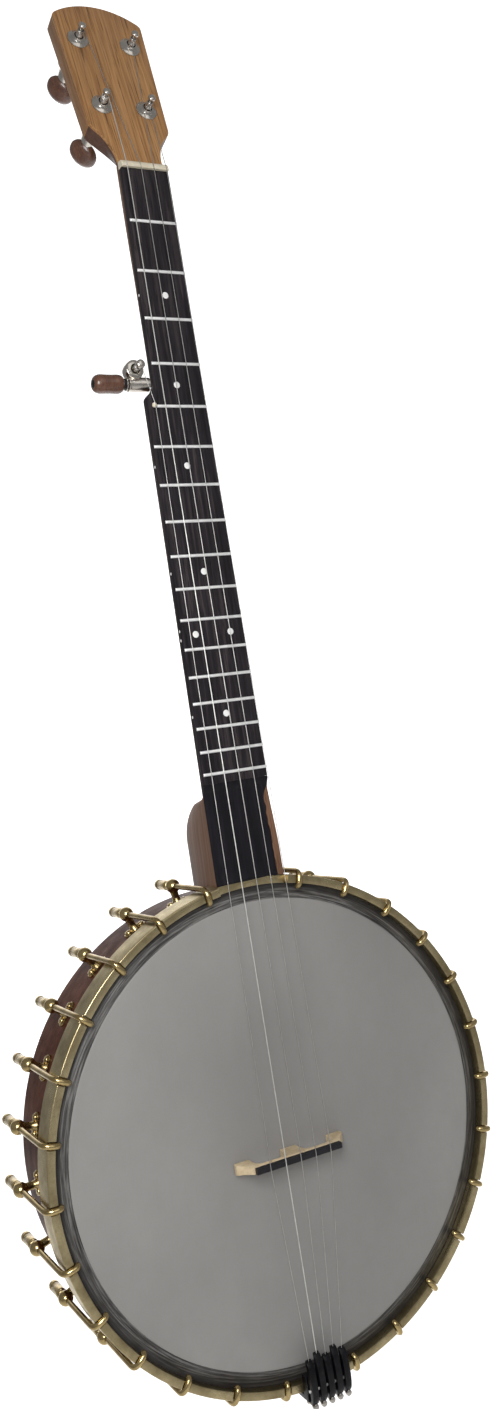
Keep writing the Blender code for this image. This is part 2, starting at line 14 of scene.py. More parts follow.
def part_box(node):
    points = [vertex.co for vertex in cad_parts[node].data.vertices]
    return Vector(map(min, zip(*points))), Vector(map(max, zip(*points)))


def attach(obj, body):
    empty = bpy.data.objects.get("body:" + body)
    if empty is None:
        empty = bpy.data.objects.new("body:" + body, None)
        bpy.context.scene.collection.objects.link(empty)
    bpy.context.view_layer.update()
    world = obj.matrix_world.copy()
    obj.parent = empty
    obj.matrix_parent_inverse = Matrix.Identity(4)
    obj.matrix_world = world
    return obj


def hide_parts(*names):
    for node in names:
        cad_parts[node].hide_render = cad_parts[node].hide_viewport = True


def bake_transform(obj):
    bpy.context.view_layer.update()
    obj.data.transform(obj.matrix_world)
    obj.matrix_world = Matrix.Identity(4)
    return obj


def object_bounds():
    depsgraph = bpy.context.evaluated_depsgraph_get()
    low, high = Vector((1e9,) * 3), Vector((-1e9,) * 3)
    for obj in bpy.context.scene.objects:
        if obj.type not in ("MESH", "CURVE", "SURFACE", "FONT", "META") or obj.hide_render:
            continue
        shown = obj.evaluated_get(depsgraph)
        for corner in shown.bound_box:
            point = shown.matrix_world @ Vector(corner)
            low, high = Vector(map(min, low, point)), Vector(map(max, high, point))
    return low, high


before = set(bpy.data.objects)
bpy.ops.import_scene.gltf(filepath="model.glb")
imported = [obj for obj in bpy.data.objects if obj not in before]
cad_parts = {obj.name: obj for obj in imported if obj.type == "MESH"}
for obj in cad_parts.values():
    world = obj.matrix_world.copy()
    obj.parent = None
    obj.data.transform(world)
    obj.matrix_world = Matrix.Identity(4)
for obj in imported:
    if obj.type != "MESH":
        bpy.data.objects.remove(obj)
CAD_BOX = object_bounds()

MM = 0.001
RIM_LOW, RIM_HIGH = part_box("rim")
HEAD_LOW, HEAD_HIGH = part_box("head")
CENTRE = Vector(((RIM_LOW.x + RIM_HIGH.x) / 2, HEAD_LOW.y, (RIM_LOW.z + RIM_HIGH.z) / 2))
RIM_RADIUS = (RIM_HIGH.x - RIM_LOW.x) / 2 / MM
RIM_BACK = (RIM_HIGH.y - CENTRE.y) / MM
RIM_WALL = 19

SCALE_LENGTH = 648
NECK_PITCH = 0.0365
PEGHEAD_TILT = math.radians(14)
LEAN = NECK_PITCH + PEGHEAD_TILT
BRIDGE_LINE_Z = -9.6
FRET_PLANE_Y = -10.2
FRET_HEIGHT = 1
BOARD_THICKNESS = 4.2
SCOOP_START = 236
SCOOP_RAMP = 7
SCOOP_DEPTH = 3.2
SCOOP_STRIP = 4
STRIP_FLARE = 1.9
SHOULDER_START = 490
SHOULDER_END = 499
HEEL_START = 230
HEEL_LENGTH = 32
HEEL_DEPTH = 78
HEEL_NARROWING = 0.25
HEEL_ROUNDNESS = 2.1
BACK_ROUNDNESS = 1.38
NUT_ROUNDNESS = 1.83
NECK_DEPTH = 21.5
NECK_DEEPENING = 3.5
FRET_COUNT = 17
PEGHEAD_THICKNESS = 12.5
PEGHEAD_DROP = 4
PEGHEAD_CENTRE = 3.5
PEG_HOLE_RADIUS = 4
PEG_SPOTS = ((-16.2, 111.6), (23.3, 111.7), (-12.6, 54.6), (20.6, 54.4))
HOOKS_PER_SIDE = 13
FIRST_HOOK = math.radians(12.2)
HOOK_PITCH = math.radians(13.2)
HOOP_OUTER = 162.9
HOOP_INNER = 157.5
HOOP_FRONT = -4.8
HOOP_BACK = 13.5
HOOP_CUT_HALF = 25.5
NOTCH_HALF = 2.5
NOTCH_FLOOR = -2.2
SHOE_RADIUS = 165.5
SHOE_Y = 43.5
NUT_Y = 47.4
ROD_Y = 40
FINGER_PITCH = 6.2
PIVOT_Y = -12.9
PIVOT_Z = -158
BRIDGE_Z = -15
BRIDGE_TOP = -16
STRING_RADII = (0.25, 0.25, 0.3, 0.35, 0.25)
STRING_AT_BRIDGE = (22.4, 11.2, 0, -11.2, -22.4)
STRING_AT_NUT = (19, 9.6, 0.1, -10)
FIFTH_PIP = (-17.2, 485.8)
FIFTH_PEG = Vector((-10, 15.5, 492))
FIFTH_POST = Vector((-26, 14, 500.6))


# ---------------------------------------------------------------- materials

class Nodes:
    """A Principled material, with short calls for the nodes that its looks share."""

    def __init__(self, name, roughness, metallic=0, **sockets):
        """Whatever is the same all over the surface is set on the shader's sockets."""
        self.mat = bpy.data.materials.new(name)
        self.mat.use_nodes = True
        self.tree = self.mat.node_tree
        self.shader = self.tree.nodes["Principled BSDF"]
        self.shader.inputs["Roughness"].default_value = roughness
        self.shader.inputs["Metallic"].default_value = metallic
        for label, value in sockets.items():
            self.shader.inputs[label.replace("_", " ")].default_value = value

    def add(self, kind, **values):
        item = self.tree.nodes.new("ShaderNode" + kind)
        for label, value in values.items():
            setattr(item, label, value)
        return item

    def link(self, out, into):
        self.tree.links.new(out, into)

    def feed(self, label, out):
        self.link(out, self.shader.inputs[label])

    def coords(self, stretch=(1, 1, 1), turn=(0, 0, 0)):
        """Object coordinates in metres, turned first and then stretched."""
        source = self.add("TexCoord").outputs["Object"]
        turned_by = self.add("Mapping")
        turned_by.inputs["Rotation"].default_value = turn
        self.link(source, turned_by.inputs["Vector"])
        scaled = self.add("Mapping")
        scaled.inputs["Scale"].default_value = stretch
        self.link(turned_by.outputs[0], scaled.inputs["Vector"])
        return scaled.outputs[0]

    def noise(self, vector, scale, detail=4, rough=0.55, distortion=0):
        item = self.add("TexNoise")
        item.inputs["Scale"].default_value = scale
        item.inputs["Detail"].default_value = detail
        item.inputs["Roughness"].default_value = rough
        item.inputs["Distortion"].default_value = distortion
        self.link(vector, item.inputs["Vector"])
        return item.outputs["Fac"]

    def ramp(self, value, stops):
        """Colours along a value, as (position, (red, green, blue)) stops."""
        item = self.add("ValToRGB")
        elements = item.color_ramp.elements
        while len(elements) < len(stops):
            elements.new(0.5)
        for element, (position, colour) in zip(elements, stops):
            element.position = position
            element.color = (*colour, 1)
        self.link(value, item.inputs["Fac"])
        return item.outputs["Color"]

    def span(self, value, low, high, to_low, to_high):
        item = self.add("MapRange")
        for label, number in (("From Min", low), ("From Max", high),
                              ("To Min", to_low), ("To Max", to_high)):
            item.inputs[label].default_value = number
        self.link(value, item.inputs["Value"])
        return item.outputs["Result"]

    def mix(self, amount, first, second):
        """Mix two colours, each an output or a plain colour, by an output."""
        item = self.add("Mix", data_type="RGBA")
        self.link(amount, item.inputs["Factor"])
        for source, index in ((first, 6), (second, 7)):
            if isinstance(source, tuple):
                item.inputs[index].default_value = (*source, 1)
            else:
                self.link(source, item.inputs[index])
        return item.outputs[2]

    def math(self, operation, first, second=None):
        item = self.add("Math", operation=operation)
        for index, source in enumerate((first, second)):
            if source is None:
                continue
            if isinstance(source, (int, float)):
                item.inputs[index].default_value = source
            else:
                self.link(source, item.inputs[index])
        return item.outputs[0]

    def about_pot(self):
        """Outputs of the distance from the pot's axis and of the angle round it."""
        offset = self.add("VectorMath", operation="SUBTRACT")
        self.link(self.add("TexCoord").outputs["Object"], offset.inputs[0])
        offset.inputs[1].default_value = CENTRE
        split = self.add("SeparateXYZ")
        self.link(offset.outputs[0], split.inputs[0])
        x_part = self.math("POWER", split.outputs[0], 2)
        z_part = self.math("POWER", split.outputs[2], 2)
        radius = self.math("SQRT", self.math("ADD", x_part, z_part))
        angle = self.math("ARCTAN2", split.outputs[0], split.outputs[2])
        return radius, angle, split.outputs[1]

    def round_marks(self, scale, detail=3):
        """Noise drawn out round the pot, like marks left by turning."""
        radius, angle, depth = self.about_pot()
        join = self.add("CombineXYZ")
        self.link(radius, join.inputs[0])
        self.link(depth, join.inputs[1])
        self.link(self.math("MULTIPLY", angle, 0.006), join.inputs[2])
        return self.noise(join.outputs[0], scale, detail, 0.6)

    def bump(self, height, strength, distance):
        item = self.add("Bump")
        item.inputs["Strength"].default_value = strength
        item.inputs["Distance"].default_value = distance
        self.link(height, item.inputs["Height"])
        return item.outputs["Normal"]


def wood(name, stops, roughness, figure=230, stretch=0.035, tilt=0, coat=0,
         pore_dark=0.45, pore_scale=1500, gloss=0.35):
    """Straight-grained wood with its grain up the neck: figure, rings and open pores."""
    n = Nodes(name, roughness, Coat_Weight=coat, Coat_Roughness=0.25, Specular_IOR_Level=gloss)
    turn = (tilt, 0, 0)
    broad = n.noise(n.coords((1, 1, stretch), turn), figure, 5, 0.6, 0.3)
    slow = n.noise(n.coords((1, 1, stretch * 4), turn), figure * 0.12, 2)
    mixed = n.math("ADD", n.math("MULTIPLY", broad, 0.7), n.math("MULTIPLY", slow, 0.3))
    colour = n.ramp(mixed, stops)
    pores = n.noise(n.coords((1, 1, 0.03), turn), pore_scale, 2, 0.5)
    pore_mask = n.span(pores, 0.56, 0.68, 0, pore_dark)
    darker = n.mix(pore_mask, colour, tuple(c * 0.35 for c in stops[0][1]))
    n.feed("Base Color", darker)
    n.feed("Roughness", n.span(mixed, 0.3, 0.7, roughness + 0.08, roughness - 0.06))
    height = n.math("SUBTRACT", n.math("MULTIPLY", broad, 0.3), pore_mask)
    n.feed("Normal", n.bump(height, 0.35, 0.00018))
    return n.mat


def brass(name, colour, tarnish, roughness, brushed=True):
    """Aged brass; on the hoop the brush marks run round the pot."""
    n = Nodes(name, roughness, 1)
    if brushed:
        marks = n.round_marks(3800)
    else:
        marks = n.noise(n.coords((1, 1, 0.4)), 1500, 3, 0.6)
    patches = n.noise(n.coords(), 55, 5, 0.65)
    spots = n.noise(n.coords(), 420, 3, 0.6)
    aged = n.ramp(patches, ((0.32, tarnish), (0.6, colour),
                            (0.8, tuple(min(1, c * 1.15) for c in colour))))
    spotted = n.mix(n.span(spots, 0.62, 0.75, 0, 0.5), aged, tarnish)
    lined = n.mix(n.span(marks, 0.35, 0.65, 0, 0.35), spotted, tuple(c * 0.72 for c in colour))
    n.feed("Base Color", lined)
    rough = n.math("ADD", n.span(patches, 0.3, 0.7, roughness + 0.1, roughness - 0.05),
                   n.span(marks, 0.3, 0.7, -0.05, 0.06))
    n.feed("Roughness", rough)
    n.feed("Normal", n.bump(marks, 0.25, 0.00008))
    return n.mat


def plated(name, colour, roughness, smudge=0.1, scratch=900, metallic=1):
    """Polished plating with faint smudges and hairline scratches."""
    n = Nodes(name, roughness, metallic)
    patches = n.noise(n.coords(), 180, 4, 0.6)
    lines = n.noise(n.coords((1, 1, 0.08), (0.3, 0.6, 0.2)), scratch, 3, 0.7)
    tint = n.ramp(patches, ((0.3, tuple(c * 0.78 for c in colour)), (0.65, colour)))
    n.feed("Base Color", tint)
    n.feed("Roughness", n.math("ADD", n.span(patches, 0.3, 0.75, roughness + smudge, roughness),
                               n.span(lines, 0.55, 0.7, 0, 0.08)))
    n.feed("Normal", n.bump(lines, 0.12, 0.00003))
    return n.mat


def black_enamel():
    n = Nodes("black_enamel", 0.32, Specular_IOR_Level=0.16, Coat_Weight=0.1, Coat_Roughness=0.15)
    peel = n.noise(n.coords(), 900, 3, 0.5)
    wear = n.noise(n.coords(), 160, 5, 0.7)
    colour = n.ramp(wear, ((0.45, (0.002, 0.002, 0.003)), (0.75, (0.009, 0.008, 0.010))))
    n.feed("Base Color", colour)
    n.feed("Roughness", n.span(wear, 0.3, 0.75, 0.26, 0.48))
    n.feed("Normal", n.bump(peel, 0.15, 0.00006))
    return n.mat


def bone():
    n = Nodes("bone", 0.36, Subsurface_Weight=0.15)
    n.shader.inputs["Subsurface Radius"].default_value = (0.002, 0.0014, 0.0008)
    cloud = n.noise(n.coords((1, 1, 0.4)), 260, 4, 0.6)
    fleck = n.noise(n.coords((0.15, 1, 1)), 2600, 2, 0.5)
    colour = n.ramp(cloud, ((0.3, (0.60, 0.52, 0.38)), (0.7, (0.74, 0.68, 0.54))))
    marked = n.mix(n.span(fleck, 0.6, 0.72, 0, 0.3), colour, (0.42, 0.33, 0.2))
    n.feed("Base Color", marked)
    n.feed("Roughness", n.span(cloud, 0.3, 0.7, 0.42, 0.3))
    n.feed("Normal", n.bump(fleck, 0.1, 0.00005))
    return n.mat


def pearl():
    n = Nodes("pearl", 0.22, Coat_Weight=0.5)
    sheen = n.noise(n.coords(), 700, 3, 0.5, 1.2)
    colour = n.ramp(sheen, ((0.3, (0.66, 0.7, 0.7)), (0.5, (0.82, 0.8, 0.76)),
                            (0.7, (0.72, 0.76, 0.82))))
    n.feed("Base Color", colour)
    n.feed("Roughness", n.span(sheen, 0.3, 0.7, 0.16, 0.3))
    return n.mat


def head_film():
    """Smoky frosted film: a fine tooth, faint clouds and finger marks drawn out up the neck."""
    n = Nodes("head_film", 0.5, Specular_IOR_Level=0.4, Sheen_Weight=0.08)
    clouds = n.noise(n.coords((1, 1, 0.6)), 6.5, 5, 0.5)
    mottle = n.noise(n.coords(), 95, 5, 0.6)
    tooth = n.noise(n.coords(), 5200, 2, 0.5)
    streaks = n.noise(n.coords((1, 1, 0.03)), 700, 3, 0.6)
    colour = n.ramp(clouds, ((0.3, (0.205, 0.198, 0.189)), (0.7, (0.29, 0.283, 0.272))))
    colour = n.mix(n.span(mottle, 0.35, 0.75, 0, 0.2), colour, (0.2, 0.194, 0.186))
    colour = n.mix(n.span(tooth, 0.5, 0.75, 0, 0.16), colour, (0.4, 0.392, 0.38))
    colour = n.mix(n.span(streaks, 0.55, 0.75, 0, 0.06), colour, (0.14, 0.135, 0.13))
    n.feed("Base Color", colour)
    n.feed("Roughness", n.span(mottle, 0.3, 0.7, 0.46, 0.56))
    n.feed("Normal", n.bump(tooth, 0.2, 0.00005))
    return n.mat


def collar_film_with_painted_shadow():
    """The pressed collar of the head: dark, with fine paler rings that run round it, and painted
    shadow of the tension hoop towards its outer edge.
    """
    n = Nodes("collar_film_with_painted_shadow", 0.4, Specular_IOR_Level=0.3)
    rings = n.round_marks(950, 2)
    fine = n.round_marks(3600, 2)
    clouds = n.noise(n.coords(), 70, 4, 0.6)
    radius = n.about_pot()[0]
    colour = n.ramp(rings, ((0.36, (0.022, 0.020, 0.019)), (0.5, (0.07, 0.067, 0.064)),
                            (0.62, (0.16, 0.155, 0.148))))
    colour = n.mix(n.span(fine, 0.5, 0.62, 0, 0.5), colour, (0.02, 0.018, 0.017))
    colour = n.mix(n.span(clouds, 0.4, 0.7, 0, 0.3), colour, (0.10, 0.095, 0.09))
    # painted shadow: near black from 152.5 mm outward, where the tension hoop's inner edge shades
    # the gap
    colour = n.mix(n.span(radius, 0.1525, 0.1552, 0, 0.85), colour, (0.016, 0.014, 0.013))
    n.feed("Base Color", colour)
    n.feed("Roughness", n.span(clouds, 0.3, 0.7, 0.5, 0.34))
    n.feed("Normal", n.bump(fine, 0.2, 0.00004))
    return n.mat


WALNUT = ((0.3, (0.10, 0.050, 0.030)), (0.5, (0.155, 0.082, 0.050)), (0.72, (0.215, 0.125, 0.082)))
RIM_WOOD = ((0.3, (0.040, 0.012, 0.007)), (0.52, (0.085, 0.030, 0.018)),
            (0.74, (0.15, 0.062, 0.038)))
LIGHT_WOOD = ((0.32, (0.20, 0.085, 0.027)), (0.46, (0.33, 0.162, 0.058)),
              (0.6, (0.43, 0.228, 0.09)), (0.74, (0.52, 0.30, 0.135)))
# The peghead's light wood again, made darker: painted shade for the sides of its core.
SHADED_LIGHT_WOOD = ((0.3, (0.17, 0.08, 0.032)), (0.5, (0.25, 0.128, 0.055)), (0.74, (0.33, 0.18, 0.085)))
# Walnut end grain for the throat, painted darker than WALNUT with the shade under the peghead's
# ears.
COVE_WALNUT_AND_SHADE = ((0.3, (0.05, 0.024, 0.016)), (0.5, (0.085, 0.043, 0.029)),
             (0.74, (0.12, 0.064, 0.044)))
BOARD_WOOD = ((0.34, (0.006, 0.005, 0.006)), (0.5, (0.018, 0.015, 0.018)),
              (0.62, (0.045, 0.036, 0.038)), (0.78, (0.095, 0.066, 0.052)))
SCOOP_WOOD = ((0.32, (0.004, 0.004, 0.005)), (0.55, (0.010, 0.009, 0.012)),
              (0.78, (0.022, 0.020, 0.024)))
MAPLE = ((0.3, (0.42, 0.31, 0.18)), (0.55, (0.56, 0.45, 0.29)), (0.75, (0.66, 0.55, 0.38)))
BUTTON_WOOD = ((0.3, (0.05, 0.020, 0.012)), (0.5, (0.10, 0.042, 0.024)),
               (0.72, (0.17, 0.078, 0.045)))

MATS = {
    "walnut": wood("walnut", WALNUT, 0.5, 260, 0.04, gloss=0.1),
    "light_wood": wood("light_wood", LIGHT_WOOD, 0.42, 620, 0.018, LEAN, 0.1, 0.75, 1100),
    "cove_walnut_and_shade": wood("cove_walnut_and_shade", COVE_WALNUT_AND_SHADE, 0.45, 260, 0.05, LEAN),
    "rim_wood": wood("rim_wood", RIM_WOOD, 0.42, 120, 0.5, gloss=0.05),
    "board": wood("board", BOARD_WOOD, 0.45, 420, 0.012, pore_dark=0.7, gloss=0.16),
    "scoop": wood("board_scoop", SCOOP_WOOD, 0.42, 300, 0.03, gloss=0.14),
    "light_wood_painted_shade": wood("light_wood_painted_shade", SHADED_LIGHT_WOOD, 0.42, 300, 0.03, LEAN, 0.1),
    "maple": wood("maple", MAPLE, 0.5, 300, 1, pore_dark=0.15),
    "ebony": wood("ebony", SCOOP_WOOD, 0.4, 300, 1),
    "button": wood("button_wood", BUTTON_WOOD, 0.24, 420, 0.2, coat=0.6),
    "bone": bone(),
    "pearl": pearl(),
    "hoop_brass": brass("hoop_brass", (0.53, 0.44, 0.255), (0.25, 0.195, 0.10), 0.28),
    "hook_brass": brass("hook_brass", (0.55, 0.42, 0.20), (0.24, 0.17, 0.075), 0.18, False),
    "nickel": plated("nickel", (0.58, 0.54, 0.49), 0.14),
    "steel": plated("steel", (0.58, 0.575, 0.56), 0.3, 0.12),
    "fret_metal": plated("fret_metal", (0.93, 0.93, 0.92), 0.34, 0.05, metallic=0.45),
    "wire": plated("wire", (0.56, 0.55, 0.53), 0.32, 0.1, 2600),
    "wound": plated("wound_wire", (0.80, 0.79, 0.75), 0.34, 0.05, 5200, 0.8),
    "black": black_enamel(),
    "film": head_film(),
    "collar": collar_film_with_painted_shadow(),
}


# ---------------------------------------------------------------- shapes

def put(point):
    return Vector(point) * MM + CENTRE


def loft(rings, closed=False):
    count = len(rings[0])
    points = [p for ring in rings for p in ring]
    faces = []
    spans = len(rings) if closed else len(rings) - 1
    for i in range(spans):
        a = i * count
        b = ((i + 1) % len(rings)) * count
        for j in range(count):
            k = (j + 1) % count
            faces.append((a + j, a + k, b + k, b + j))
    if not closed:
        faces.append(tuple(reversed(range(count))))
        last = (len(rings) - 1) * count
        faces.append(tuple(range(last, last + count)))
    return points, faces


def turned(profile, steps, centre, axis, side=None, flatten=1):
    """Turn (radius, height) pairs about an axis; both ends have radius zero."""
    axis = Vector(axis).normalized()
    side = Vector(side) if side else axis.orthogonal()
    side = side.normalized()
    across = axis.cross(side) * flatten
    points = [centre + axis * profile[0][1]]
    for radius, height in profile[1:-1]:
        for i in range(steps):
            turn = 2 * math.pi * i / steps
            spoke = side * math.cos(turn) + across * math.sin(turn)
            points.append(centre + axis * height + spoke * radius)
    points.append(centre + axis * profile[-1][1])
    faces = [(0, 1 + i, 1 + (i + 1) % steps) for i in range(steps)]
    for ring in range(len(profile) - 3):
        a = 1 + ring * steps
        for i in range(steps):
            k = (i + 1) % steps
            faces.append((a + i, a + k, a + steps + k, a + steps + i))
    last = len(points) - 1
    a = last - steps
    for i in range(steps):
        faces.append((a + i, last, a + (i + 1) % steps))
    return points, faces


def radial_section(section, turn):
    """A (radius, y) section, turned about the pot's axis."""
    return [Vector((r * math.sin(turn), y, r * math.cos(turn))) for r, y in section]


def ring_about_y(section, steps):
    return loft([radial_section(section, 2 * math.pi * i / steps) for i in range(steps)],
                closed=True)


def tube(path, radius, sides):
    """A round wire along a path, with domed ends; radius may be a number or a list."""
    count = len(path)
    radii = radius if isinstance(radius, list) else [radius] * count
    sweep = [2 * math.pi * k / sides for k in range(sides)]
    rings = []
    heading = (path[1] - path[0]).normalized()
    side = heading.orthogonal().normalized()
    for i, point in enumerate(path):
        before = path[max(i - 1, 0)]
        after = path[min(i + 1, count - 1)]
        new_heading = (after - before).normalized()
        side = heading.rotation_difference(new_heading) @ side
        heading = new_heading
        across = heading.cross(side)
        layers = [(point, radii[i])]
        if i in (0, count - 1):
            outward = heading if i else -heading
            dome = [(point + outward * radii[i] * share * 0.8,
                     radii[i] * math.sqrt(1 - share * share)) for share in (0.6, 0.95)]
            layers = layers + dome if i else dome[::-1] + layers
        for centre, size in layers:
            rings.append([centre + (side * math.cos(t) + across * math.sin(t)) * size
                          for t in sweep])
    return loft(rings)


def smooth_path(points, steps):
    """A Catmull-Rom curve through the points, with a number of steps for each span."""
    padded = [points[0] * 2 - points[1]] + list(points) + [points[-1] * 2 - points[-2]]
    path = []
    for i in range(1, len(padded) - 2):
        a, b, c, d = padded[i - 1:i + 3]
        for step in range(steps):
            t = step / steps
            path.append(0.5 * ((b * 2) + (c - a) * t + (a * 2 - b * 5 + c * 4 - d) * t ** 2
                               + (b * 3 - a - c * 3 + d) * t ** 3))
    path.append(Vector(points[-1]))
    return path


def prism(outline, start, end):
    return loft([[p + offset for p in outline] for offset in (start, end)])


def box(low, high):
    x0, y0, z0 = low
    x1, y1, z1 = high
    base = [(x0, y0), (x1, y0), (x1, y1), (x0, y1)]
    return loft([[Vector((x, y, z)) for x, y in base] for z in (z0, z1)])


def combined(shapes):
    points = []
    faces = []
    for part_points, part_faces in shapes:
        base = len(points)
        points += part_points
        faces += [tuple(base + i for i in face) for face in part_faces]
    return points, faces


def mesh_of(name, shape, mat, bevel=0, segments=2, angle=35):
    """A closed mesh in metres with its faces out, bevelled by a width in millimetres."""
    points, faces = shape
    mesh = bpy.data.meshes.new(name)
    mesh.from_pydata([put(p) for p in points], [], faces)
    solid = bmesh.new()
    solid.from_mesh(mesh)
    bmesh.ops.recalc_face_normals(solid, faces=solid.faces)
    if bevel:
        sharp = [e for e in solid.edges
                 if len(e.link_faces) == 2 and e.calc_face_angle() > math.radians(angle)]
        bmesh.ops.bevel(solid, geom=sharp, offset=bevel * MM, segments=segments,
                        profile=0.5, affect="EDGES", clamp_overlap=True)
    solid.to_mesh(mesh)
    solid.free()
    mesh.materials.append(mat)
    mesh.shade_smooth()
    mesh.set_sharp_from_angle(angle=math.radians(angle))
    return mesh


def placed(name, data, place=None):
    """An object in the scene, at the origin unless it is given a place."""
    obj = bpy.data.objects.new(name, data)
    if place:
        obj.matrix_world = place
    bpy.context.scene.collection.objects.link(obj)
    return obj


def piece(name, mesh, body="root", replaces=(), place=None):
    obj = placed(name, mesh, place)
    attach(obj, body)
    if replaces:
        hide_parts(*replaces)
    return obj


def add(name, shape, look, slot, body="root", replaces=(), **edges):
    """One visible piece: a shape with its look, riding on a body."""
    return piece(name, mesh_of(name, shape, MATS[look], **edges), body, replaces)


# ---------------------------------------------------------------- neck

def on_neck(x, distance, below):
    """A point by its distance from the bridge line and its depth under the fret plane."""
    back = math.sin(NECK_PITCH)
    up = math.cos(NECK_PITCH)
    y = FRET_PLANE_Y + distance * back + below * up
    return Vector((x, y, BRIDGE_LINE_Z + distance * up - below * back))


def on_peghead(x, u, out):
    """A point by its distance u up the peghead and its height out of the face."""
    start = on_neck(x, SCALE_LENGTH, PEGHEAD_DROP)
    return start + Vector((0, math.sin(LEAN) * u - math.cos(LEAN) * out,
                           math.cos(LEAN) * u + math.sin(LEAN) * out))


def smooth(t):
    t = min(max(t, 0), 1)
    return t * t * (3 - 2 * t)


def right_edge(distance):
    return 25.2 - 0.0064 * distance


def left_edge(distance):
    wide = -right_edge(distance)
    narrow = -18 + 0.0065 * distance
    share = smooth((distance - SHOULDER_START) / (SHOULDER_END - SHOULDER_START))
    return wide + (narrow - wide) * share


def heel_share(distance):
    """0 along the neck, rising in a quarter round to 1 at the heel."""
    inside = min(max((HEEL_START - distance) / HEEL_LENGTH, 0), 1)
    return math.sqrt(1 - (1 - inside) ** 2) * smooth(6 * inside)


def strip_edge(distance):
    """The neck's right side, which stands out a little beside the scoop."""
    return right_edge(distance) + STRIP_FLARE * smooth((SCOOP_START - distance) / 49)


def neck_ring(distance, arc_steps=32):
    """The neck's superelliptic section, flat on top, at one distance."""
    left = left_edge(distance)
    right = strip_edge(distance)
    heel = heel_share(distance)
    plain = NECK_DEPTH + NECK_DEEPENING * smooth((600 - distance) / 350)
    top = FRET_HEIGHT + BOARD_THICKNESS + 0.05
    drop = plain + (HEEL_DEPTH - plain) * heel - top
    nearness = smooth((distance - 520) / 120)
    slim = BACK_ROUNDNESS + (NUT_ROUNDNESS - BACK_ROUNDNESS) * nearness
    power = 2 / (slim + (HEEL_ROUNDNESS - slim) * heel)
    middle = (left + right) / 2
    half = (right - left) / 2
    ring = []
    for i in range(arc_steps + 1):
        turn = math.pi * i / arc_steps
        spread = math.copysign(abs(math.cos(turn)) ** power, math.cos(turn))
        narrowing = 1 - HEEL_NARROWING * heel * math.sin(turn)
        sag = max(math.sin(turn), 0) ** power
        ring.append(on_neck(middle + half * spread * narrowing, distance, top + drop * sag))
    return ring


def pot_cut(distance_ring):
    """Move a ring's points out to the pot's surface, hoop or rim, where they pass it."""
    moved = []
    for p in distance_ring:
        reach = HOOP_OUTER + 0.1 if p.y < HOOP_BACK + 0.3 else RIM_RADIUS + 0.1
        z = math.sqrt(max(reach ** 2 - p.x ** 2, 0))
        moved.append(Vector((p.x, p.y, max(p.z, z))))
    return moved


def neck():
    stations = [160 + 2 * i for i in range(30)]
    stations += [220 + i for i in range(7)] + [227 + 0.5 * i for i in range(7)]
    stations += [232, 236, 244, 260] + [280 + 20 * i for i in range(10)]
    stations += [478, 484] + [488 + i for i in range(13)]
    stations += [502, 510, 530, 560, 590, 610, 620, 630, 640, 648, 652.9]
    rings = [neck_ring(d) for d in stations]
    rings[0] = pot_cut(rings[0])
    kept = [rings[0]]
    for ring in rings[1:]:
        if all(p.z > q.z + 0.02 for p, q in zip(ring, kept[-1])):
            kept.append(ring)
    add("neck_body", loft(kept), "walnut", "walnut", replaces=("neck",), angle=50)
    scoop_strip()


def strip_share(distance):
    """0 along the playing length, rising to 1 where the wood strip has its full width."""
    return smooth((SCOOP_START - 4 - distance) / 10)


def cut_at_hoop(ring):
    """A ring's points, moved along the neck to the face of the tension hoop."""
    reach = HOOP_OUTER + 0.15
    return [Vector((p.x, p.y, math.sqrt(reach ** 2 - p.x ** 2))) for p in ring]


def strip_boundary(distance):
    """Where the scoop's black floor gives way to the neck's own wood; it wanders."""
    wave = 0.45 * math.sin(distance * 0.31) + 0.3 * math.sin(distance * 0.83 + 1)
    return strip_edge(distance) - 0.25 - (SCOOP_STRIP + 0.3 + wave) * strip_share(distance)


def scoop_strip():
    """The neck's own wood, standing level with the scooped board beside it."""
    bottom = FRET_HEIGHT + BOARD_THICKNESS + 0.1
    rings = []
    for i in range(42):
        distance = 172 + 1.45 * i
        right = strip_edge(distance)
        left = strip_boundary(distance)
        top = board_top(distance) - 0.06
        rings.append([on_neck(left, distance, bottom), on_neck(left, distance, top + 0.12),
                      on_neck(left + 0.12, distance, top),
                      on_neck(right - 0.12, distance, top + 0.12),
                      on_neck(right, distance, top + 0.5), on_neck(right, distance, bottom)])
    add("scoop_strip", loft([cut_at_hoop(rings[0])] + rings), "walnut", "walnut", angle=40)


def side_outline():
    """Half of the peghead's outline as (x, u), from the nut up to the top corner."""
    return [(16.6, 6.4), (16.9, 11), (17.6, 15.5), (18.9, 20), (20.6, 24.5), (22.9, 28.6),
            (25.9, 32), (28.6, 35), (29.6, 37), (30, 40), (31.7, 85),
            (33.6, 131), (33.3, 132.8), (31.9, 134.6)]


def peghead_outline():
    side = side_outline()
    corner_x, corner_u = side[-1]
    rise = 10.5
    radius = (corner_x ** 2 + rise ** 2) / (2 * rise)
    sweep = math.asin(corner_x / radius)
    arch = []
    steps = 28
    for i in range(1, steps):
        turn = sweep * (1 - 2 * i / steps)
        arch.append((radius * math.sin(turn), corner_u + rise - radius * (1 - math.cos(turn))))
    left = [(-x, u) for x, u in reversed(side)]
    return [(PEGHEAD_CENTRE + x, u) for x, u in side + arch + left]


